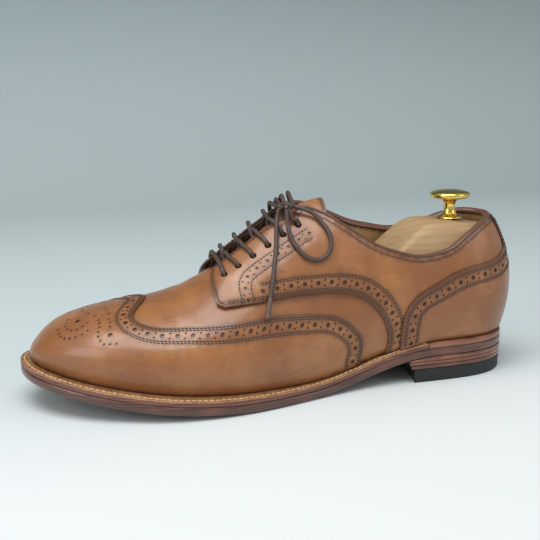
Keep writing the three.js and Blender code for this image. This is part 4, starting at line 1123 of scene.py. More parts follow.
def make_vamp():
    def front(side):
        return [foot(side, 116), mark(side, 115, 31), mark(side, 123, 38), mark(side, 140, 41.5),
                mark(side, 167, 42.5), mark(side, 202, 41), mark(side, 232, 40),
                mark(side, 245, 46),
                crest(side, 238)]

    def back(side):
        return [crest(side, 187.5), beside(side, 187.5, 24), mark(side, 183, 69),
                mark(side, 166, 69.5), mark(side, 139, 70.5), mark(side, 119, 69),
                mark(side, 99, 64), mark(side, 86, 55), mark(side, 79, 43), mark(side, 77, 31),
                foot(side, 78)]
    lat_f, med_f = flow(ridge_up(-1, front(-1)), 2.5), flow(ridge_up(1, front(1)), 2.5)
    lat_b, med_b = flow(ridge_up(-1, back(-1)), 2.5), flow(ridge_up(1, back(1)), 2.5)
    loop = join(lat_f, med_f[::-1][1:], along_foot(1, 116, 78)[1:-1], med_b[::-1],
                lat_b[1:], along_foot(-1, 78, 116)[1:-1])
    piece = panel("vamp_leather", loop, over_ridge, vamp_height, 1.1, grid=2.2)
    return stands_for(piece, "vamp")


vamp = make_vamp()
print("vamp:", len(vamp.data.polygons), "faces")

# %% The tongue
TONGUE = -3.45


def make_tongue():
    def edge(side):
        return [crest(side, 118.5), beside(side, 119, 13), beside(side, 123, 22),
                beside(side, 138, 26), beside(side, 168, 25), beside(side, 186, 22),
                beside(side, 196, 15), crest(side, 197)]
    lateral, medial = flow(ridge_up(-1, edge(-1)), 1.6), flow(ridge_up(1, edge(1)), 1.6)
    loop = join(lateral, medial[::-1][1:-1])
    turn = beside_curve(loop, 2.0 * inner_side(loop, loop, 2.0))
    turn = turn[within(turn, loop)]
    piece = panel("tongue_leather", loop, over_ridge, TONGUE, 0.85, [turn], grid=2.4)
    stitch(turn, over_ridge, TONGUE - 0.1)
    return stands_for(piece, "tongue")


tongue = make_tongue()
print("tongue:", len(tongue.data.polygons), "faces")

# %% [markdown]
# ## Quarters
# Each quarter is one piece from the back seam to the facing. Its gimped lower edge lies over
# the vamp and carries the same punching as the cap; near the front corner the edge is plain
# and the punching stops. A punched strip, the eyestay, runs beside the six holes.

# %% Eyestay line
def eyestay_marks(side):
    return [mark(side, 172.5, 58.4), beside(side, 173, 30.5), beside(side, 171, 27.4),
            beside(side, 166, 25.8), beside(side, 158.5, 24.5), beside(side, 149.5, 23),
            beside(side, 140, 21), beside(side, 131.5, 19.4)]


def as_heel(side, curve):
    return curve * (side, 1)


FACING_ROW, TOPLINE_ROW = 1.8, 2.6


def quarter_grain(p):
    return quarter_height(p) + swell(p) * smooth((62 - p[:, 0]) / 20)


def make_quarter(side):
    name = "quarter_lateral" if side < 0 else "quarter_medial"
    low = flow(quarter_low_marks(side), 1.0)
    front = flow(facing_front_marks(side), 1.5)
    facing = flow([beside(side, s, FACING_Y) for s in (FACING_FRONT, 165, FACING_BACK)], 1.6)
    corner = flow([beside(side, FACING_BACK, FACING_Y), beside(side, 139.5, FACING_Y + 3)], 1.2)
    top = flow(topline_marks(side), 1.6)
    top = top[top[:, 0] > 0.35]
    seam = np.stack([np.full(16, 0.35), np.linspace(top[-1, 1], 0, 16)], 1)
    base_end, base_start = foot(side, 89.4)[0], 0.35
    base = np.stack([np.linspace(base_start, base_end, 40), np.zeros(40)], 1)
    reach = lengths(low)
    pinked_end = reach[-1] - 20.0
    toothed = gimp(low[reach < pinked_end], depth=-0.75)
    loop = join(toothed, low[reach >= pinked_end + 0.5], front[1:], facing[1:], corner[1:], top[1:],
                seam[1:], base[1:-1])
    inward = inner_side(low, loop)
    rows = [trimmed(beside_curve(low, inward * d), 0.5, 2.0) for d in (ROW_1, ROW_2)]
    rows += [trimmed(beside_curve(low, inward * d), 0.5, 22) for d in (ROW_3, ROW_4)]
    holes = punching(trimmed(beside_curve(low, inward * HOLES_AT), 3.0, 22.5))
    rows += [trimmed(beside_curve(front, inner_side(front, loop, 2.0) * ROW_1), 1.8, 1.5),
             trimmed(beside_curve(facing, inner_side(facing, loop, 2.0) * FACING_ROW), 1.5, 0.5)]
    stay = flow(eyestay_marks(side), 1.0)
    holes += punching(trimmed(stay, 1.5, 1.0), 7.4, 0.95, 0.45, 1.55)
    rows += [trimmed(beside_curve(stay, d), 0.5, 0.5) for d in (-3.3, 3.3)]
    rows += [trimmed(beside_curve(top, inner_side(top, loop) * TOPLINE_ROW), 2.0, 0.5)]
    eyelets = [(np.array(beside(side, s, y)), 1.95) for s, y in EYELETS]
    kept_rows = [r[within(r, loop)] for r in rows]
    holes = [h for h in holes if within(np.asarray(h[0])[None], loop)[0]
             and distance(np.asarray(h[0])[None], loop, True)[0] > h[1] + 0.4]
    piece = panel(name + "_leather", as_heel(side, loop), over_heel, quarter_grain, 1.2,
                  [as_heel(side, r) for r in kept_rows],
                  [(c * (side, 1), r) for c, r in spread_out(holes)],
                  grid=2.2, through=[(c * (side, 1), r) for c, r in eyelets])
    for row in kept_rows:
        stitch(as_heel(side, row), over_heel, lambda p: quarter_grain(p) - 0.1)
    return stands_for(piece, name)


quarters = [make_quarter(-1), make_quarter(1)]
print("quarters:", [len(q.data.polygons) for q in quarters], "faces")

# %% [markdown]
# ## Counter
# The counter wraps the heel over both quarters and ends in a strip up the back seam. It has
# the same band of punching along its upper edge.

# %% Cutting the counter
COUNTER = 1.65


def make_counter():
    lateral = as_heel(-1, flow(counter_marks(-1), 1.0))
    medial = as_heel(1, flow(counter_marks(1), 1.0))
    head = np.stack([np.linspace(lateral[-1, 0], medial[-1, 0], 14),
                     np.linspace(lateral[-1, 1], medial[-1, 1], 14)], 1)
    base = np.stack([np.linspace(medial[0, 0], lateral[0, 0], 70), np.zeros(70)], 1)
    loop = join(gimp(lateral, depth=-0.75), head[1:-1], gimp(medial, depth=0.75)[::-1], base[1:-1])
    rows, holes = [], []
    for curve in (lateral, medial):
        turn = inner_side(curve, loop, 2.0)
        rows += [beside_curve(curve, turn * d) for d in (ROW_1, ROW_2, ROW_3, ROW_4)]
        holes += punching(trimmed(beside_curve(curve, turn * HOLES_AT), 3.0, 4.0))
    rows = [r[within(r, loop)] for r in rows]
    rows = [r[distance(r, loop, True) > 1.2] for r in rows]
    holes = well_inside(holes, loop)
    piece = panel("counter_cover_leather", loop, over_heel, lambda p: back_sink(p) + COUNTER, 1.2,
                  rows,
                  spread_out(holes), grid=2.2)
    for row in rows:
        if len(row) > 4:
            stitch(row, over_heel, lambda p: back_sink(p) + COUNTER - 0.1)
    return stands_for(piece, "counter_cover")


counter = make_counter()
print("counter:", len(counter.data.polygons), "faces")

# %% [markdown]
# ## Linings
# The shoe is lined in pale calf. Only the part above the tree shows, with one seam where the
# quarter lining meets the heel grip.

# %% Quarter linings and heel grip
GRIP_SEAM, LINING_FRONT = 46.0, 185.8


def lining_height(p):
    k = smooth((p[:, 0] - 34) / 26)
    return (VAMP + facing_lift(p)) * (1 - k) + LINING * k


def make_quarter_lining(side):
    name = "quarter_lining_lateral" if side < 0 else "quarter_lining_medial"
    top = flow(topline_marks(side), 2.0)
    top = top[top[:, 0] > GRIP_SEAM + 1]
    front = flow([beside(side, LINING_FRONT, 26), beside(side, LINING_FRONT, FACING_Y + 0.5)], 3)
    facing = flow([beside(side, s, FACING_Y + 0.5) for s in (LINING_FRONT, 165, FACING_BACK)], 3)
    low = flow([foot(side, 75), mark(side, 74, 31), mark(side, 76, 44), mark(side, 84, 57),
                mark(side, 98, 66), mark(side, 119, 71), mark(side, 139, 72.5),
                mark(side, 166, 71.5), mark(side, 180, 71.5), beside(side, LINING_FRONT, 26)], 3)
    seam = np.stack([np.full(24, GRIP_SEAM), np.linspace(top[-1, 1], 0, 24)], 1)
    base = np.stack([np.linspace(GRIP_SEAM, foot(side, 75)[0], 12), np.zeros(12)], 1)
    loop = join(low, front[1:], facing[1:], top, seam[1:], base[1:-1])
    eyelets = [(np.array(beside(side, s, y)) * (side, 1), 2.0) for s, y in EYELETS]
    row = np.stack([np.full(20, GRIP_SEAM + 1.6), np.linspace(top[-1, 1] - 1, 8, 20)], 1)
    piece = panel(name + "_leather", as_heel(side, loop), over_heel, lining_height, 0.9,
                  [as_heel(side, row)], grid=3.0, through=eyelets, roll=0.2)
    return stands_for(piece, name)


def make_grip():
    halves = []
    for side in (-1, 1):
        top = flow(topline_marks(side), 2.0)
        halves.append(as_heel(side, top[top[:, 0] < GRIP_SEAM - 0.6]))
    edge = GRIP_SEAM - 0.6
    base = np.stack([np.linspace(edge, -edge, 40), np.zeros(40)], 1)
    loop = join([(-edge, 0)], [(-edge, halves[0][0, 1])], halves[0], halves[1][::-1],
                [(edge, halves[1][0, 1])], base[:-1])
    piece = panel("heel_grip_leather", loop, over_heel, LINING, 0.9, grid=3.0, roll=0.2)
    return stands_for(piece, "heel_grip")


linings = [make_quarter_lining(-1), make_quarter_lining(1), make_grip()]
print("linings:", [len(x.data.polygons) for x in linings], "faces")

# %% [markdown]
# ## Binding round the mouth
# A folded strip covers the raw edges of quarter and lining together, so its section is an oval
# as wide as both. Its two faces are found on the last, and the oval is swept between them.

# %% The topline binding
def make_binding(around=14, half_height=1.35, rise=0.6, wrap_over=0.25):
    w = np.arange(around) * 2 * np.pi / around
    halves = []
    for side in (-1, 1):
        curve = as_heel(side, flow(topline_marks(side), 1.2) + (0, rise))
        outer = on_last(curve, over_heel, lambda p: quarter_height(p) + wrap_over)[0]
        inner = on_last(curve, over_heel, lambda p: lining_height(p) - 0.9 - wrap_over)[0]
        up = (on_last(curve + (0, 1.0), over_heel, quarter_height)[0]
              - on_last(curve, over_heel, quarter_height)[0])
        up /= np.linalg.norm(up, axis=1, keepdims=True)
        mid, half = (outer + inner) / 2, (outer - inner) / 2
        halves.append(mid[:, None] + np.cos(w)[None, :, None] * half[:, None]
                      + half_height * np.sin(w)[None, :, None] * up[:, None])
    rings = np.concatenate([halves[0][:-1], halves[1][::-1]])
    n = len(rings)
    faces = [face[::-1] for face in ring_faces(n, around) + end_faces(n, around)]
    points = np.concatenate([rings.reshape(-1, 3), rings[0].mean(0)[None], rings[-1].mean(0)[None]])
    print("topline runs", round(path_length(rings.mean(1))), "mm")
    piece = make_mesh("topline_binding_leather", to_frame(points), faces)
    return stands_for(piece, "topline_binding")


binding = make_binding()

# %% [markdown]
# ## Sole, welt and heel
# The bottom is built up in plates that follow the outline of the sole: outsole, welt, heel
# lifts and a rubber top piece. Each plate is its outline carried round a small profile, so
# every edge has the soft corner that an edge iron leaves.

# %% Outline and plates
SOLE, WELT, GAP, HEEL_PITCH, HEEL_LENGTH, TOP_PIECE, WELT_END = 5.3, 3.0, 0.3, 16.0, 71.0, 8.5, 62.0


def outline(w, inset=0.0):
    """Points of the sole's edge: w 0 heel, 1 toe on the lateral side, back to 2 on the medial."""
    w = np.asarray(w, float)

    def at(k):
        k = (k + 2) % 2
        u = np.where(k <= 1, k, 2 - k)
        return np.stack([HALF - sole_s(u), np.where(k <= 1, -sole_lat(u), sole_med(u))], -1)
    d = at(w + 0.004) - at(w - 0.004)
    d /= np.linalg.norm(d, axis=-1, keepdims=True)
    outer = np.stack([-d[..., 1], d[..., 0]], -1)
    return at(w) - outer * np.asarray(inset, float)[..., None]


def plate(name, rings, z_low, z_high, profile, grid=5.0):
    """rings(inset) gives the outline; profile lists (inset, share of the height, extra height)."""
    def raised(p, share, extra):
        return np.column_stack([p, z_low(p) * (1 - share) + z_high(p) * share + extra])

    points = [raised(rings(inset), share, extra) for inset, share, extra in profile]
    around = len(points[0])
    faces = ring_faces(len(profile), around)
    slots = [0] * len(faces)
    count = len(profile) * around
    for which, slot in ((0, 1), (-1, 2)):
        ring = points[which % len(profile)][:, :2]
        verts, tris = triangulate(ring, [], [], grid)
        tris = tris[within(verts[tris].mean(1), ring)]
        tris = np.where((turned_area(verts, tris) < 0)[:, None], tris[:, ::-1], tris)
        points.append(raised(verts, *profile[which][1:]))
        tris = tris if which else tris[:, ::-1]
        faces.extend((tris + count).tolist())
        slots.extend([slot] * len(tris))
        count += len(verts)
    obj = make_mesh(name, to_frame(np.concatenate(points)), faces, slots, None, True)
    return facing_outwards(obj)


def sole_under(p):
    return bottom(HALF - p[:, 0])


ROUND = np.linspace(0, 2, 420, endpoint=False)
EDGE_PROFILE = ((9.0, 0, 0), (6.2, 0, 0), (5.9, 0, 0.25), (5.4, 0, 0.25), (5.1, 0, 0),
                (1.6, 0, 0.02), (0.75, 0, 0.22), (0.25, 0, 0.8), (0.02, 0, 1.8), (0.0, 0.5, 0),
                (0.06, 1, -1.2), (0.35, 1, -0.45), (0.9, 1, -0.06), (1.8, 1, 0))
outsole = plate("outsole_leather", lambda inset: outline(ROUND, np.full(len(ROUND), inset)),
                sole_under, lambda p: sole_under(p) + SOLE, EDGE_PROFILE)
stands_for(outsole, "outsole")
print("outsole:", len(outsole.data.polygons), "faces")


# %% Heel layers
def heel_ring(front, k):
    """Outline of a heel layer: the back of the sole drawn in by k, and a hollow breast."""
    u_end = float(sole_u(front))
    u = np.linspace(-1, 1, 121) * u_end
    s = sole_s(np.abs(u))
    y = np.where(u < 0, -sole_lat(np.abs(u)), sole_med(np.abs(u))) * k
    back = np.column_stack([HALF - 12 * (1 - k) - s, y])
    t = np.linspace(1, -1, 30)[1:-1]
    y0, y1 = back[-1, 1], back[0, 1]
    breast = np.column_stack([HALF - 12 * (1 - k) - (front - 4 * (1 - t * t)),
                              np.where(t > 0, t * y0, -t * y1)])
    return np.concatenate([back, breast])


def shrunk(ring, inset):
    if inset == 0:
        return ring
    d = np.roll(ring, -1, axis=0) - np.roll(ring, 1, axis=0)
    d /= np.linalg.norm(d, axis=1, keepdims=True)
    inner = np.column_stack([-d[:, 1], d[:, 0]])
    out = ring + inner * inset
    inside = within(out, ring).mean() > 0.5
    return out if inside else ring - inner * inset


def flat(z):
    return lambda p: np.full(len(p), float(z))


def heel_layer(name, node, z_low, z_high, level):
    k = 0.955 + 0.045 * clamp(level / HEEL_PITCH, 0, 1)
    ring = heel_ring(HEEL_LENGTH + 4 - 0.45 * (HEEL_PITCH - level), k)
    profile = ((1.6, 0, 0), (0.4, 0, 0.03), (0.08, 0, 0.3), (0, 0.5, 0), (0.08, 1, -0.3),
               (0.4, 1, -0.03), (1.6, 1, 0))
    piece = plate(name, lambda inset: shrunk(ring, inset), z_low, z_high, profile, 6.0)
    return stands_for(piece, node)


HEEL = [
    heel_layer("heel_top_rubber", "heel_top_piece", flat(0), flat(TOP_PIECE),
               TOP_PIECE / 2),
    heel_layer("heel_lift_one", "heel_lift_lower", flat(TOP_PIECE + GAP / 3),
               flat(11.0), 9.8),
    heel_layer("heel_lift_two", "heel_lift_middle", flat(11.1), flat(13.3),
               12.2),
    heel_layer("heel_lift_three", "heel_lift_upper", flat(13.4),
               lambda p: np.maximum(sole_under(p) - 0.08, 13.9), 15.5)]
print("heel layers:", [len(x.data.polygons) for x in HEEL], "faces")


# %% Welt and rand
def run_round(name, w, profile):
    """Closed profile (inset, height over the sole's underside) carried along the outline."""
    n, m = len(w), len(profile)
    rows = []
    for inset, height in profile:
        inset = np.broadcast_to(inset, n)
        p = outline(w, inset)
        rows.append(np.column_stack([p, bottom(HALF - p[:, 0]) + np.broadcast_to(height, n)]))
    points = np.stack(rows, 1).reshape(-1, 3)
    faces = ring_faces(n, m)
    faces += [list(range(m))[::-1], list(range((n - 1) * m, n * m))]
    obj = make_mesh(name, to_frame(points), faces)
    return facing_outwards(obj)


def make_welt():
    w0 = float(sole_u(WELT_END))
    w = np.linspace(w0, 2 - w0, 1300)
    p = outline(w, np.zeros(len(w)))
    run = lengths(p)
    notch = 0.16 * (np.abs(np.sin(np.pi * run / 1.9)) < 0.45)
    z0, z1 = SOLE + 0.05, SOLE + GAP + WELT
    profile = ((9.0, z0), (0.5, z0), (0.12, z0 + 0.35), (0.05, z0 + 1.6), (0.15, z1 - 0.5 - notch),
               (0.55, z1 - 0.12 - notch), (1.3, z1 - notch * 0.8), (1.9, z1 - 0.02),
               (2.2, z1 - 0.34), (2.6, z1 - 0.34), (2.9, z1 - 0.02), (4.2, z1), (9.0, z1))
    piece = run_round("welt_leather", w, profile)
    lay = outline(w, np.full(len(w), 2.4))
    top = np.column_stack([lay, bottom(HALF - lay[:, 0]) + z1 - 0.12])
    STITCHES.append((top, np.tile((0, 0, 1.0), (len(top), 1)), 3.3, 0.42, "welt_thread"))
    return stands_for(piece, "welt")


def make_rand():
    w1 = float(sole_u(WELT_END - 0.6))
    w = np.linspace(-w1, w1, 200)
    z0, z1 = SOLE + 0.05, SOLE + GAP + WELT
    profile = ((9.0, z0), (0.5, z0), (0.12, z0 + 0.35), (0.05, z0 + 1.6), (0.15, z1 - 0.5),
               (0.6, z1 - 0.1), (1.4, z1), (9.0, z1))
    return stands_for(run_round("heel_rand_leather", w, profile), "heel_rand")


welt, rand = make_welt(), make_rand()
print("welt:", len(welt.data.polygons), "faces")

# %% [markdown]
# ## The tree
# The cedar block fills the heel and slides forward on a brass tube against a spring. It is
# lofted from the same surface as the linings, a little inside them, and its top slopes down
# towards the front. The knob is turned, so it is a profile spun round its axis.

# %% Cedar heel block
WOOD, FLOOR, KNOB_S, BLOCK_FRONT = -6.55, 13.0, 34.5, 108.0
TUBE_Y, TUBE_Z = 2.0, 47.0


def block_top(s):
    return 94.1 - 0.12 * np.maximum(0, 34 - s) - 25 * smooth((s - 51) / 46)


def slimmer(s):
    """How much further the front of the block stays off the linings, so that it can slide."""
    return 3.2 * smooth((s - 40) / 55)


def wood_column(side, s, inset):
    q = np.linspace(0.02, 0.97, 90)
    a = float(np.interp(last_u(s), U_ROW, A_ROW))
    g = q * float(girth(side, a))
    p = on_last(np.column_stack([np.full(len(q), side * max(a, 1e-4)), g]), over_heel,
                WOOD - inset)[0]
    return p[np.argsort(p[:, 2])]


def at_height(column, z):
    return np.column_stack([np.interp(z, column[:, 2], column[:, k]) for k in (0, 1)] + [z])


def block_ring(s, shrink=0.0):
    low, high = float(bottom(min(s, 60)) + FLOOR) + shrink, float(block_top(s)) - shrink
    inset = slimmer(s) + shrink
    ring = []
    for side in (-1, 1):
        column = wood_column(side, s, inset)
        share = np.concatenate([np.linspace(0, 0.93, 16), [0.955]])
        half = at_height(column, low + (high - low) * share)
        edge = at_height(column, np.array([high]))[0]
        mid = float(centre(last_u(s)))
        arc = []
        for t in (0.25, 0.5, 0.75, 1.0):
            w = math.sin(t * math.pi / 2)
            drop = (high - half[-1, 2]) * (1 - w)
            pull = 2.6 * (1 - math.cos(t * math.pi / 2))
            arc.append((edge[0], edge[1] - side * pull, high - drop))
        y_in = arc[-1][1]
        for t in (0.3, 0.65):
            arc.append((edge[0], y_in + (mid - y_in) * t, high + 0.5 * t))
        half = np.concatenate([half, arc])
        foot_in = (half[0, 0], half[0, 1] - side * 2.2, low)
        half[0, 2] += 1.2
        half = np.concatenate([[foot_in], half])
        ring.append(half if side < 0 else half[::-1])
    return np.concatenate(ring)


def make_block():
    u = np.linspace(float(last_u(2.5)), float(last_u(BLOCK_FRONT)), 90)
    s = last_s(u)
    rings = [block_ring(s[0], 1.2)] + [block_ring(k) for k in s[:-1]]
    front = block_ring(s[-1])
    front[:, 0] = HALF - BLOCK_FRONT + 1.2
    nose = block_ring(s[-1], 1.4)
    nose[:, 0] = HALF - BLOCK_FRONT + 0.1
    rings += [front, nose]
    m = len(rings[0])
    points = np.concatenate(rings)
    points = np.concatenate([points, rings[0].mean(0)[None], rings[-1].mean(0)[None]])
    faces = ring_faces(len(rings), m) + end_faces(len(rings), m)
    obj = make_mesh("tree_heel_block_cedar", to_frame(points), faces, sharp=50)
    return stands_for(facing_outwards(obj, 50), "tree_heel_block", "heel_block")


block = make_block()
print("cedar block spans", [round(float(x), 4) for x in block.dimensions])

# %% The turned knob
KNOB = ((0, 88.4), (3.2, 88.4), (3.2, 93.8), (6.6, 94.3), (7.6, 94.6), (8.1, 95.1), (7.8, 95.7),
        (6.6, 96.2), (5.2, 96.8), (4.3, 97.8), (3.8, 99.4), (3.5, 101.4), (3.5, 103.4),
        (3.8, 104.8), (4.8, 105.9), (6.8, 106.7), (9.4, 107.2), (11.3, 107.6), (12.1, 108.1),
        (12.35, 108.8), (12.35, 109.9), (12.0, 110.6), (11.0, 111.1), (8.4, 111.8), (4.6, 112.4),
        (0, 112.6))


def turned(profile, x, y, around=64):
    w = np.arange(around) * 2 * np.pi / around
    parts = []
    for r, z in profile[1:-1]:
        parts.append(np.column_stack([x + r * np.cos(w), y + r * np.sin(w), np.full(around, z)]))
    points = np.concatenate(parts + [[(x, y, profile[0][1]), (x, y, profile[-1][1])]])
    n = len(parts)
    return points, ring_faces(n, around) + end_faces(n, around)


knob_points, knob_faces = turned(KNOB, HALF - KNOB_S, 0.0)
knob = make_mesh("tree_knob_brass", to_frame(knob_points), knob_faces, sharp=45)
stands_for(facing_outwards(knob, 45), "tree_knob", "heel_block")
print("knob stands", round(float(knob.dimensions.z) / MM, 1), "mm")

# %% [markdown]
# The spring's back end moves with the block and its front end stays with the tube, so its coils
# close up. Here it is one fixed coil of wire round the tube, and the solid it stands for is hidden.
# A blend along its axis gives each coil its share of the travel.

# %% Coil spring
SPRING_BACK, SPRING_FRONT, SPRING_TURNS, SPRING_RADIUS, WIRE = 111.2, 138.9, 6, 5.5, 0.8


def make_spring():
    t = np.linspace(0, SPRING_TURNS * 2 * np.pi, SPRING_TURNS * 36 + 1)
    x = HALF - SPRING_BACK - (SPRING_FRONT - SPRING_BACK) * t / t[-1]
    p = np.column_stack([x, TUBE_Y + SPRING_RADIUS * np.cos(t), TUBE_Z + SPRING_RADIUS * np.sin(t)])
    obj = tube("tree_spring_coil", p, WIRE, 10)
    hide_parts("tree_spring")
    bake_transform(obj)
    return obj


spring = make_spring()
print("spring:", len(spring.data.vertices), "points")

# %% [markdown]
# ## Thread
# Every stitch row drawn above becomes a row of short rounded stitches that dive into the
# leather at both ends. They are merged by colour of thread.

# %% Stitches
upper_thread = stitch_mesh("upper_stitches", [r for r in STITCHES if r[4] == "thread"])
welt_thread = stitch_mesh("welt_stitches", [r for r in STITCHES if r[4] == "welt_thread"])
for piece, slot in ((upper_thread, "upper_leather"), (welt_thread, "welt_leather")):
    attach(piece, "shoe")
print("stitch points:", len(upper_thread.data.vertices), len(welt_thread.data.vertices))

# %% [markdown]
# ## Shader sums in plain Python
# The small class below wraps a socket, so that masks can be added and multiplied as numbers
# are. Finish builds one material; its node method sets a node's options first and then its
# inputs, each a value or a link.

# %% Socket arithmetic
class Socket:
    def __init__(self, finish, socket):
        self.finish, self.socket = finish, socket

    def math(self, operation, *values):
        return self.finish.node("ShaderNodeMath", {"operation": operation}, dict(enumerate(values)))

    def __add__(self, other):
        return self.math("ADD", self, other)

    def __mul__(self, other):
        return self.math("MULTIPLY", self, other)

    def __sub__(self, other):
        return self.math("SUBTRACT", self, other)

    def __rsub__(self, other):
        return self.math("SUBTRACT", other, self)

    def __pow__(self, other):
        return self.math("POWER", self, other)

    __radd__ = __add__
    __rmul__ = __mul__

    def clamped(self, low=0.0, high=1.0):
        return self.math("MAXIMUM", self.math("MINIMUM", self, high), low)


class Finish:
    def __init__(self, name):
        self.material = bpy.data.materials.new(name)
        self.material.use_nodes = True
        self.tree = self.material.node_tree
        self.tree.nodes.clear()

    def node(self, kind, settings=None, values=None, output=0):
        node = self.tree.nodes.new(kind)
        for key, value in (settings or {}).items():
            if key == "stops":
                ramp = node.color_ramp.elements
                while len(ramp) < len(value):
                    ramp.new(0.5)
                for element, (at, colour) in zip(ramp, value):
                    element.position = at
                    element.color = (*colour, 1)
            else:
                setattr(node, key, value)
        for key, value in (values or {}).items():
            if isinstance(value, Socket):
                self.tree.links.new(value.socket, node.inputs[key])
            else:
                node.inputs[key].default_value = value
        return Socket(self, node.outputs[output])

    def noise(self, where, scale, detail=2.0, roughness=0.5, distortion=0.0):
        return self.node("ShaderNodeTexNoise", {},
                         {"Vector": where, "Scale": scale, "Detail": detail, "Roughness": roughness,
                          "Distortion": distortion})

    def mix(self, share, one, two):
        """Mix two colours: share 0 gives one, share 1 gives two."""
        def colour(c):
            return c if isinstance(c, Socket) else (*c, 1)
        return self.node("ShaderNodeMix", {"data_type": "RGBA"},
                         {0: share, 6: colour(one), 7: colour(two)}, 2)

    def between(self, value, low, high):
        return self.node("ShaderNodeMapRange", {"interpolation_type": "SMOOTHSTEP"},
                         {0: value, 1: low, 2: high, 3: 0.0, 4: 1.0})

    def parts(self, vector):
        """The x, y and z of a vector."""
        outputs = self.node("ShaderNodeSeparateXYZ", {}, {0: vector}).socket.node.outputs
        return [Socket(self, outputs[k]) for k in range(3)]

    def stretched(self, x=1.0, y=1.0, z=1.0):
        """Place on the object in millimetres, squeezed along each axis."""
        at = self.node("ShaderNodeTexCoord", {}, {}, 3)
        return self.node("ShaderNodeVectorMath", {"operation": "MULTIPLY"},
                         {0: at, 1: (x / MM, y / MM, z / MM)})

    def attribute(self, name):
        return self.node("ShaderNodeAttribute", {"attribute_name": name}, {}, 2)

    def bump(self, height, depth, normal=None):
        values = {"Height": height, "Distance": depth * MM, "Strength": 1.0}
        if normal is not None:
            values["Normal"] = normal
        return self.node("ShaderNodeBump", {}, values)

    def surface(self, **values):
        shader = self.node("ShaderNodeBsdfPrincipled", {},
                           {k.replace("_", " "): v for k, v in values.items()})
        out = self.tree.nodes.new("ShaderNodeOutputMaterial")
        self.tree.links.new(shader.socket, out.inputs[0])
        return self.material


def tone(r, g, b):
    """A colour given as screen values, made linear."""
    return tuple((c / 255 / 12.92) if c <= 10 else ((c / 255 + 0.055) / 1.055) ** 2.4
                 for c in (r, g, b))


# %% [markdown]
# ## Calf leather
# Tan calf that has been waxed for years is never one colour: the wax darkens edges, and the high
# places stay paler. The finish mixes three browns by slow noise, then darkens by the distance to an
# edge that every panel carries, and along each stitch row and round each punched hole. The gloss is
# a clear coat over a fine grain.

# %% Upper leather
def calf(name, pale, mid, deep, coat=0.5, rough=0.38):
    f = Finish(name)
    where = f.stretched()
    patches = f.between(f.noise(where, 0.028, 3, 0.55, 0.4), 0.36, 0.66)
    clouds = f.between(f.noise(where, 0.09, 4, 0.6), 0.34, 0.70)
    pores = f.noise(where, 1.9, 3, 0.6)
    cells = f.node("ShaderNodeTexVoronoi", {"feature": "DISTANCE_TO_EDGE"},
                   {"Vector": where, "Scale": 1.35}, 0)
    streaks = f.noise(f.stretched(0.6, 0.6, 2.2), 0.22, 4, 0.65)
    edge, groove = f.attribute("rim"), f.attribute("groove")
    colour = f.mix(patches, mid, pale)
    colour = f.mix(clouds * 0.5, colour, mid)
    colour = f.mix(f.between(streaks, 0.52, 0.78) * 0.35, colour, deep)
    # Darker near each panel's edge, and darker along stitch rows and round punched holes.
    colour = f.mix((edge * 0.8 + groove * 0.45).clamped(), colour, deep)
    colour = f.mix(f.between(pores, 0.62, 0.8) * 0.18, colour, deep)
    height = f.between(cells, 0.0, 0.16) * 0.6 + pores * 0.7
    roughness = rough + 0.10 * clouds - 0.05 * patches + 0.10 * groove
    return f.surface(Base_Color=colour, Roughness=roughness, Coat_Weight=coat, Coat_Roughness=0.2,
                     Normal=f.bump(height, 0.028), Specular_IOR_Level=0.5)


TAN = (tone(158, 104, 57), tone(133, 79, 35), tone(66, 36, 19))
grain = calf("tan_calf", *TAN)
dark_grain = calf("burnished_calf", tone(106, 64, 40), tone(90, 52, 31), tone(50, 28, 17), 0.4, 0.4)


# Fibrous cut-edge finish. Given near-black colours, it also paints the shade inside the punched
# holes.
def raw_edge_and_hole_shade(name, colour, deep):
    f = Finish(name)
    fibres = f.noise(f.stretched(), 3.0, 4, 0.7)
    return f.surface(Base_Color=f.mix(f.between(fibres, 0.35, 0.7), deep, colour), Roughness=0.72,
                     Normal=f.bump(fibres, 0.06))


cut_edge = raw_edge_and_hole_shade("cut_edge", tone(86, 52, 34), tone(54, 32, 22))
# The floor and walls of each punched hole are painted near black: painted shade inside the hole.
pit = raw_edge_and_hole_shade("punched_hole_painted_shade", tone(26, 16, 11), tone(14, 9, 7))


def lining_calf():
    f = Finish("cream_lining")
    where = f.stretched()
    clouds = f.noise(where, 0.05, 3, 0.5)
    pores = f.noise(where, 2.2, 3, 0.6)
    colour = f.mix(f.between(clouds, 0.35, 0.7), tone(208, 180, 128), tone(188, 157, 106))
    colour = f.mix(f.attribute("groove") * 0.5, colour, tone(140, 104, 66))
    colour = f.mix((f.attribute("rim") * 1.2).clamped(), colour, tone(72, 46, 30))
    return f.surface(Base_Color=colour, Roughness=0.62, Normal=f.bump(pores, 0.02))


lining = lining_calf()


def thread(name, colour, deep, rough=0.55):
    f = Finish(name)
    ply = f.noise(f.stretched(), 2.6, 2, 0.5)
    return f.surface(Base_Color=f.mix(f.between(ply, 0.35, 0.65), deep, colour), Roughness=rough,
                     Normal=f.bump(ply, 0.03))


brown_thread = thread("brown_thread", tone(74, 45, 31), tone(46, 28, 20))
pale_thread = thread("pale_thread", tone(226, 196, 150), tone(170, 128, 84))
lace_cotton = thread("waxed_lace", tone(82, 64, 56), tone(52, 39, 34), 0.5)
print("leather, lining and thread finishes made")

# %% [markdown]
# ## Sole leather, stacked lifts and rubber
# The edges of the sole are cut through layers of fibre, stained and ironed to a gloss. Their
# lines run level, so the noise is squeezed in height. The lifts show the same lines, paler.

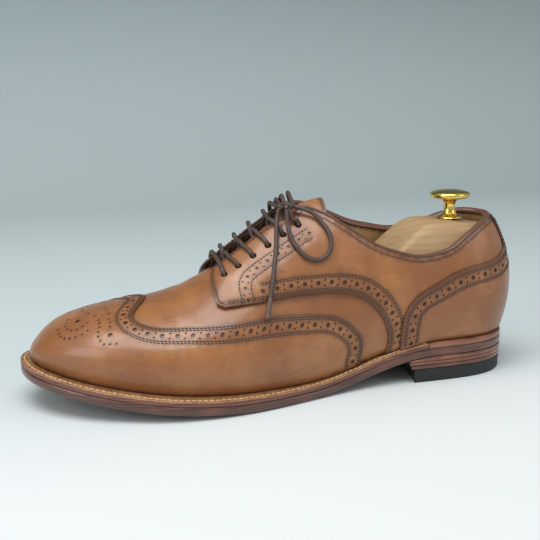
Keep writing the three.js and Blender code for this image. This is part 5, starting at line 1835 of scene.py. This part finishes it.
# %% Bottom finishes
def fibre_edge(name, pale, mid, deep, lines=1.1, coat=0.5):
    f = Finish(name)
    layers = f.noise(f.stretched(0.02, 0.02, lines), 1.0, 4, 0.6, 0.15)
    broad = f.noise(f.stretched(), 0.05, 3, 0.5)
    nicks = f.noise(f.stretched(0.5, 0.5, 1.6), 0.8, 4, 0.7)
    colour = f.mix(f.between(layers, 0.36, 0.64), deep, mid)
    colour = f.mix(f.between(broad, 0.45, 0.75) * 0.6, colour, pale)
    colour = f.mix(f.between(nicks, 0.62, 0.78) * 0.5, colour, deep)
    return f.surface(Base_Color=colour, Roughness=0.34 + 0.25 * f.between(nicks, 0.5, 0.8),
                     Coat_Weight=coat,
                     Coat_Roughness=0.22, Normal=f.bump(layers * 0.6 + nicks * 0.4, 0.05))


sole_edge = fibre_edge("sole_edge", tone(122, 74, 55), tone(94, 56, 42), tone(58, 34, 26))
stack_edge = fibre_edge("stacked_edge", tone(158, 108, 80), tone(132, 84, 62), tone(84, 48, 36),
                        0.8, 0.4)


def sole_face():
    f = Finish("sole_grain")
    where = f.stretched()
    wear = f.noise(where, 0.02, 4, 0.6)
    scuffs = f.noise(f.stretched(0.25, 1.0, 1.0), 0.6, 4, 0.7)
    colour = f.mix(f.between(wear, 0.4, 0.65), tone(186, 143, 100), tone(158, 112, 74))
    colour = f.mix(f.between(scuffs, 0.56, 0.8) * 0.6, colour, tone(98, 68, 48))
    return f.surface(Base_Color=colour, Roughness=0.55 + 0.2 * f.between(scuffs, 0.5, 0.8),
                     Normal=f.bump(scuffs, 0.08))


sole_grain = sole_face()


def welt_face():
    f = Finish("welt_strip")
    up = f.parts(f.node("ShaderNodeNewGeometry", {}, {}, 1))[2]
    layers = f.noise(f.stretched(0.02, 0.02, 1.4), 1.0, 3, 0.6)
    spots = f.noise(f.stretched(), 0.25, 4, 0.6)
    side = f.mix(f.between(layers, 0.38, 0.62), tone(84, 48, 36), tone(126, 76, 58))
    top = f.mix(f.between(spots, 0.4, 0.65), tone(150, 106, 68), tone(116, 76, 46))
    return f.surface(Base_Color=f.mix(f.between(up, 0.35, 0.75), side, top),
                     Roughness=0.42 + 0.15 * spots,
                     Coat_Weight=0.35, Coat_Roughness=0.25, Normal=f.bump(spots, 0.04))


welt_strip = welt_face()


def rubber():
    f = Finish("black_rubber")
    where = f.stretched()
    dust = f.noise(where, 0.12, 4, 0.65)
    scratch = f.noise(f.stretched(0.12, 0.12, 1.0), 0.9, 4, 0.7)
    colour = f.mix(f.between(dust, 0.45, 0.75) * 0.7, tone(24, 27, 27), tone(44, 47, 45))
    colour = f.mix(f.between(scratch, 0.62, 0.8) * 0.6, colour, tone(78, 80, 76))
    return f.surface(Base_Color=colour, Roughness=0.5 + 0.2 * dust, Normal=f.bump(scratch, 0.04))


top_rubber = rubber()

# %% [markdown]
# ## Cedar, brass and steel
# Cedar is pale with darker growth rings that run along the block. Rings are made as distance
# from an axis, bent by slow noise; the pores are noise drawn out along the grain.

# %% Tree finishes
def cedar_wood():
    f = Finish("cedar")
    bend = f.noise(f.stretched(0.25, 1.0, 1.0), 0.03, 2, 0.5)
    _, y, z = f.parts(f.stretched())
    away = ((y + 26.0) ** 2.0 + (z - 30.0) ** 2.0) ** 0.5 + bend * 22.0
    rings = f.between((away * 1.45).math("SINE", away * 1.45), -0.2, 1.0)
    pores = f.noise(f.stretched(0.06, 1.0, 1.0), 1.6, 4, 0.7)
    patches = f.noise(f.stretched(), 0.035, 2, 0.5)
    colour = f.mix(rings * 0.35, tone(168, 138, 99), tone(144, 110, 75))
    colour = f.mix(f.between(pores, 0.55, 0.8) * 0.5, colour, tone(132, 98, 66))
    colour = f.mix(f.between(patches, 0.45, 0.7) * 0.4, colour, tone(150, 116, 84))
    return f.surface(Base_Color=colour, Roughness=0.52 + 0.12 * pores,
                     Normal=f.bump(pores * 0.7 + rings * 0.3, 0.05))


def metal(name, colour, deep, rough):
    f = Finish(name)
    haze = f.noise(f.stretched(), 0.2, 4, 0.6)
    marks = f.noise(f.stretched(0.3, 0.3, 4.0), 0.8, 3, 0.6)
    return f.surface(Base_Color=f.mix(f.between(haze, 0.4, 0.75), colour, deep), Metallic=1.0,
                     Roughness=rough + 0.10 * f.between(haze, 0.4, 0.8) + 0.03 * marks,
                     Normal=f.bump(marks, 0.004))


def corky():
    f = Finish("cork")
    crumbs = f.node("ShaderNodeTexVoronoi", {}, {"Vector": f.stretched(), "Scale": 0.6}, 0)
    return f.surface(Base_Color=f.mix(f.between(crumbs, 0.2, 0.8), tone(176, 128, 82),
                                      tone(112, 74, 46)),
                     Roughness=0.85, Normal=f.bump(crumbs, 0.15))


def tip_plastic():
    f = Finish("tip_plastic")
    haze = f.noise(f.stretched(), 0.5, 2, 0.5)
    return f.surface(Base_Color=f.mix(haze, tone(70, 50, 42), tone(96, 72, 60)),
                     Roughness=0.25 + 0.1 * haze,
                     Coat_Weight=0.5, Coat_Roughness=0.1)


cedar = cedar_wood()
brass = metal("polished_brass", tone(238, 208, 112), tone(208, 172, 82), 0.14)
steel = metal("steel", tone(176, 176, 178), tone(140, 140, 142), 0.28)
cork, plastic = corky(), tip_plastic()
print("materials:", len(bpy.data.materials))

# %% [markdown]
# ## Who wears what
# New pieces get their finishes by part: grain side, punched holes, cut edges. The solids that
# stay are hidden ones, and get the finish of their slot.

# %% Dressing the pieces
def dress(piece, *materials):
    piece.data.materials.clear()
    for m in materials:
        piece.data.materials.append(m)


# The second slot, the punched holes, takes the near-black painted shade.
for piece in (wing, vamp, tongue, *quarters, counter):
    dress(piece, grain, pit, cut_edge)
for piece in linings:
    dress(piece, lining, pit, cut_edge)
dress(binding, dark_grain)
dress(upper_thread, brown_thread)
dress(welt_thread, pale_thread)
for piece in (*CORDS.values(), threaded, knot):
    dress(piece, lace_cotton)
for piece in TIPS.values():
    dress(piece, plastic)
dress(outsole, sole_edge, sole_grain, sole_grain)
dress(HEEL[0], top_rubber, top_rubber, top_rubber)
for piece in HEEL[1:]:
    dress(piece, stack_edge, stack_edge, stack_edge)
dress(welt, welt_strip)
dress(rand, stack_edge)
dress(block, cedar)
dress(knob, brass)
dress(spring, steel)

KEPT = {"insole": lining, "heel_sock": lining, "vamp_lining": lining, "cork_filler": cork,
        "shank": steel,
        "toe_puff": cut_edge, "heel_stiffener": cut_edge, "tree_toe_lateral": cedar,
        "tree_toe_medial": cedar,
        "tree_bracket": brass, "tree_outer_tube": brass, "tree_inner_tube": brass,
        "tree_ferrule": brass}
for name, material in KEPT.items():
    for place in bpy.data.objects[name].material_slots:
        place.material = material
print("solids that keep their shape:", len(KEPT))

# %% [markdown]
# ## Floor, backdrop and light
# A pale table sweeps up into a grey-blue wall; the colour is painted darker towards the back and
# the top, a painted shade of the light falling off. One broad soft light hangs over the shoe to the
# left of the camera, a weaker one fills from the right, and the room adds the rest.

# %% Stage
def make_backdrop():
    profile = [(-1.6, 0.0), (-0.8, 0.0), (0.0, 0.0), (0.45, 0.0), (0.75, 0.0)]
    profile += [(0.75 + 0.55 * math.sin(t), 0.55 * (1 - math.cos(t)))
                for t in np.linspace(0.1, math.pi / 2, 16)]
    profile += [(1.3, 0.8), (1.3, 1.8)]
    points = [(x, y, z) for y, z in profile for x in (-2.4, 2.4)]
    faces = [[2 * i, 2 * i + 1, 2 * i + 3, 2 * i + 2] for i in range(len(profile) - 1)]
    obj = make_mesh("backdrop", points, faces, sharp=180)
    f = Finish("backdrop_paper")
    at = f.node("ShaderNodeTexCoord", {}, {}, 3)
    _, y, z = f.parts(at)
    fibre = f.noise(at, 60.0, 3, 0.6)
    # The floor and wall are painted darker towards the back and up the wall: painted shade of the
    # light falling off.
    colour = f.mix(f.between(y, -0.16, 0.12), tone(214, 216, 216), tone(190, 200, 201))
    colour = f.mix(f.between(y, 0.12, 1.15), colour, tone(174, 186, 187))
    colour = f.mix(f.between(z, 0.03, 0.75), colour, tone(98, 114, 116))
    obj.data.materials.append(f.surface(Base_Color=colour, Roughness=0.8,
                                        Normal=f.bump(fibre, 0.02)))
    return obj


backdrop = make_backdrop()


def softbox(name, at, size, power, colour=(1, 1, 1)):
    data = bpy.data.lights.new(name, "AREA")
    data.shape = "RECTANGLE"
    data.size, data.size_y = size
    data.energy = power
    data.color = colour
    lamp = bpy.data.objects.new(name, data)
    lamp.location = at
    lamp.rotation_euler = (Vector((0, 0, 0.05)) - Vector(at)).to_track_quat("-Z", "Y").to_euler()
    scene.collection.objects.link(lamp)


softbox("overhead", (-0.25, -0.35, 1.35), (1.3, 0.9), 18)
softbox("left", (-1.25, -0.65, 0.75), (0.7, 0.9), 7)
softbox("right", (1.2, -0.9, 0.8), (0.8, 0.9), 3.6, (1, 0.98, 0.95))
world = bpy.data.worlds.new("room")
world.use_nodes = True
world.node_tree.nodes["Background"].inputs[0].default_value = (0.86, 0.93, 0.96, 1)
world.node_tree.nodes["Background"].inputs[1].default_value = 0.5
scene.world = world
scene.view_settings.view_transform = "Standard"
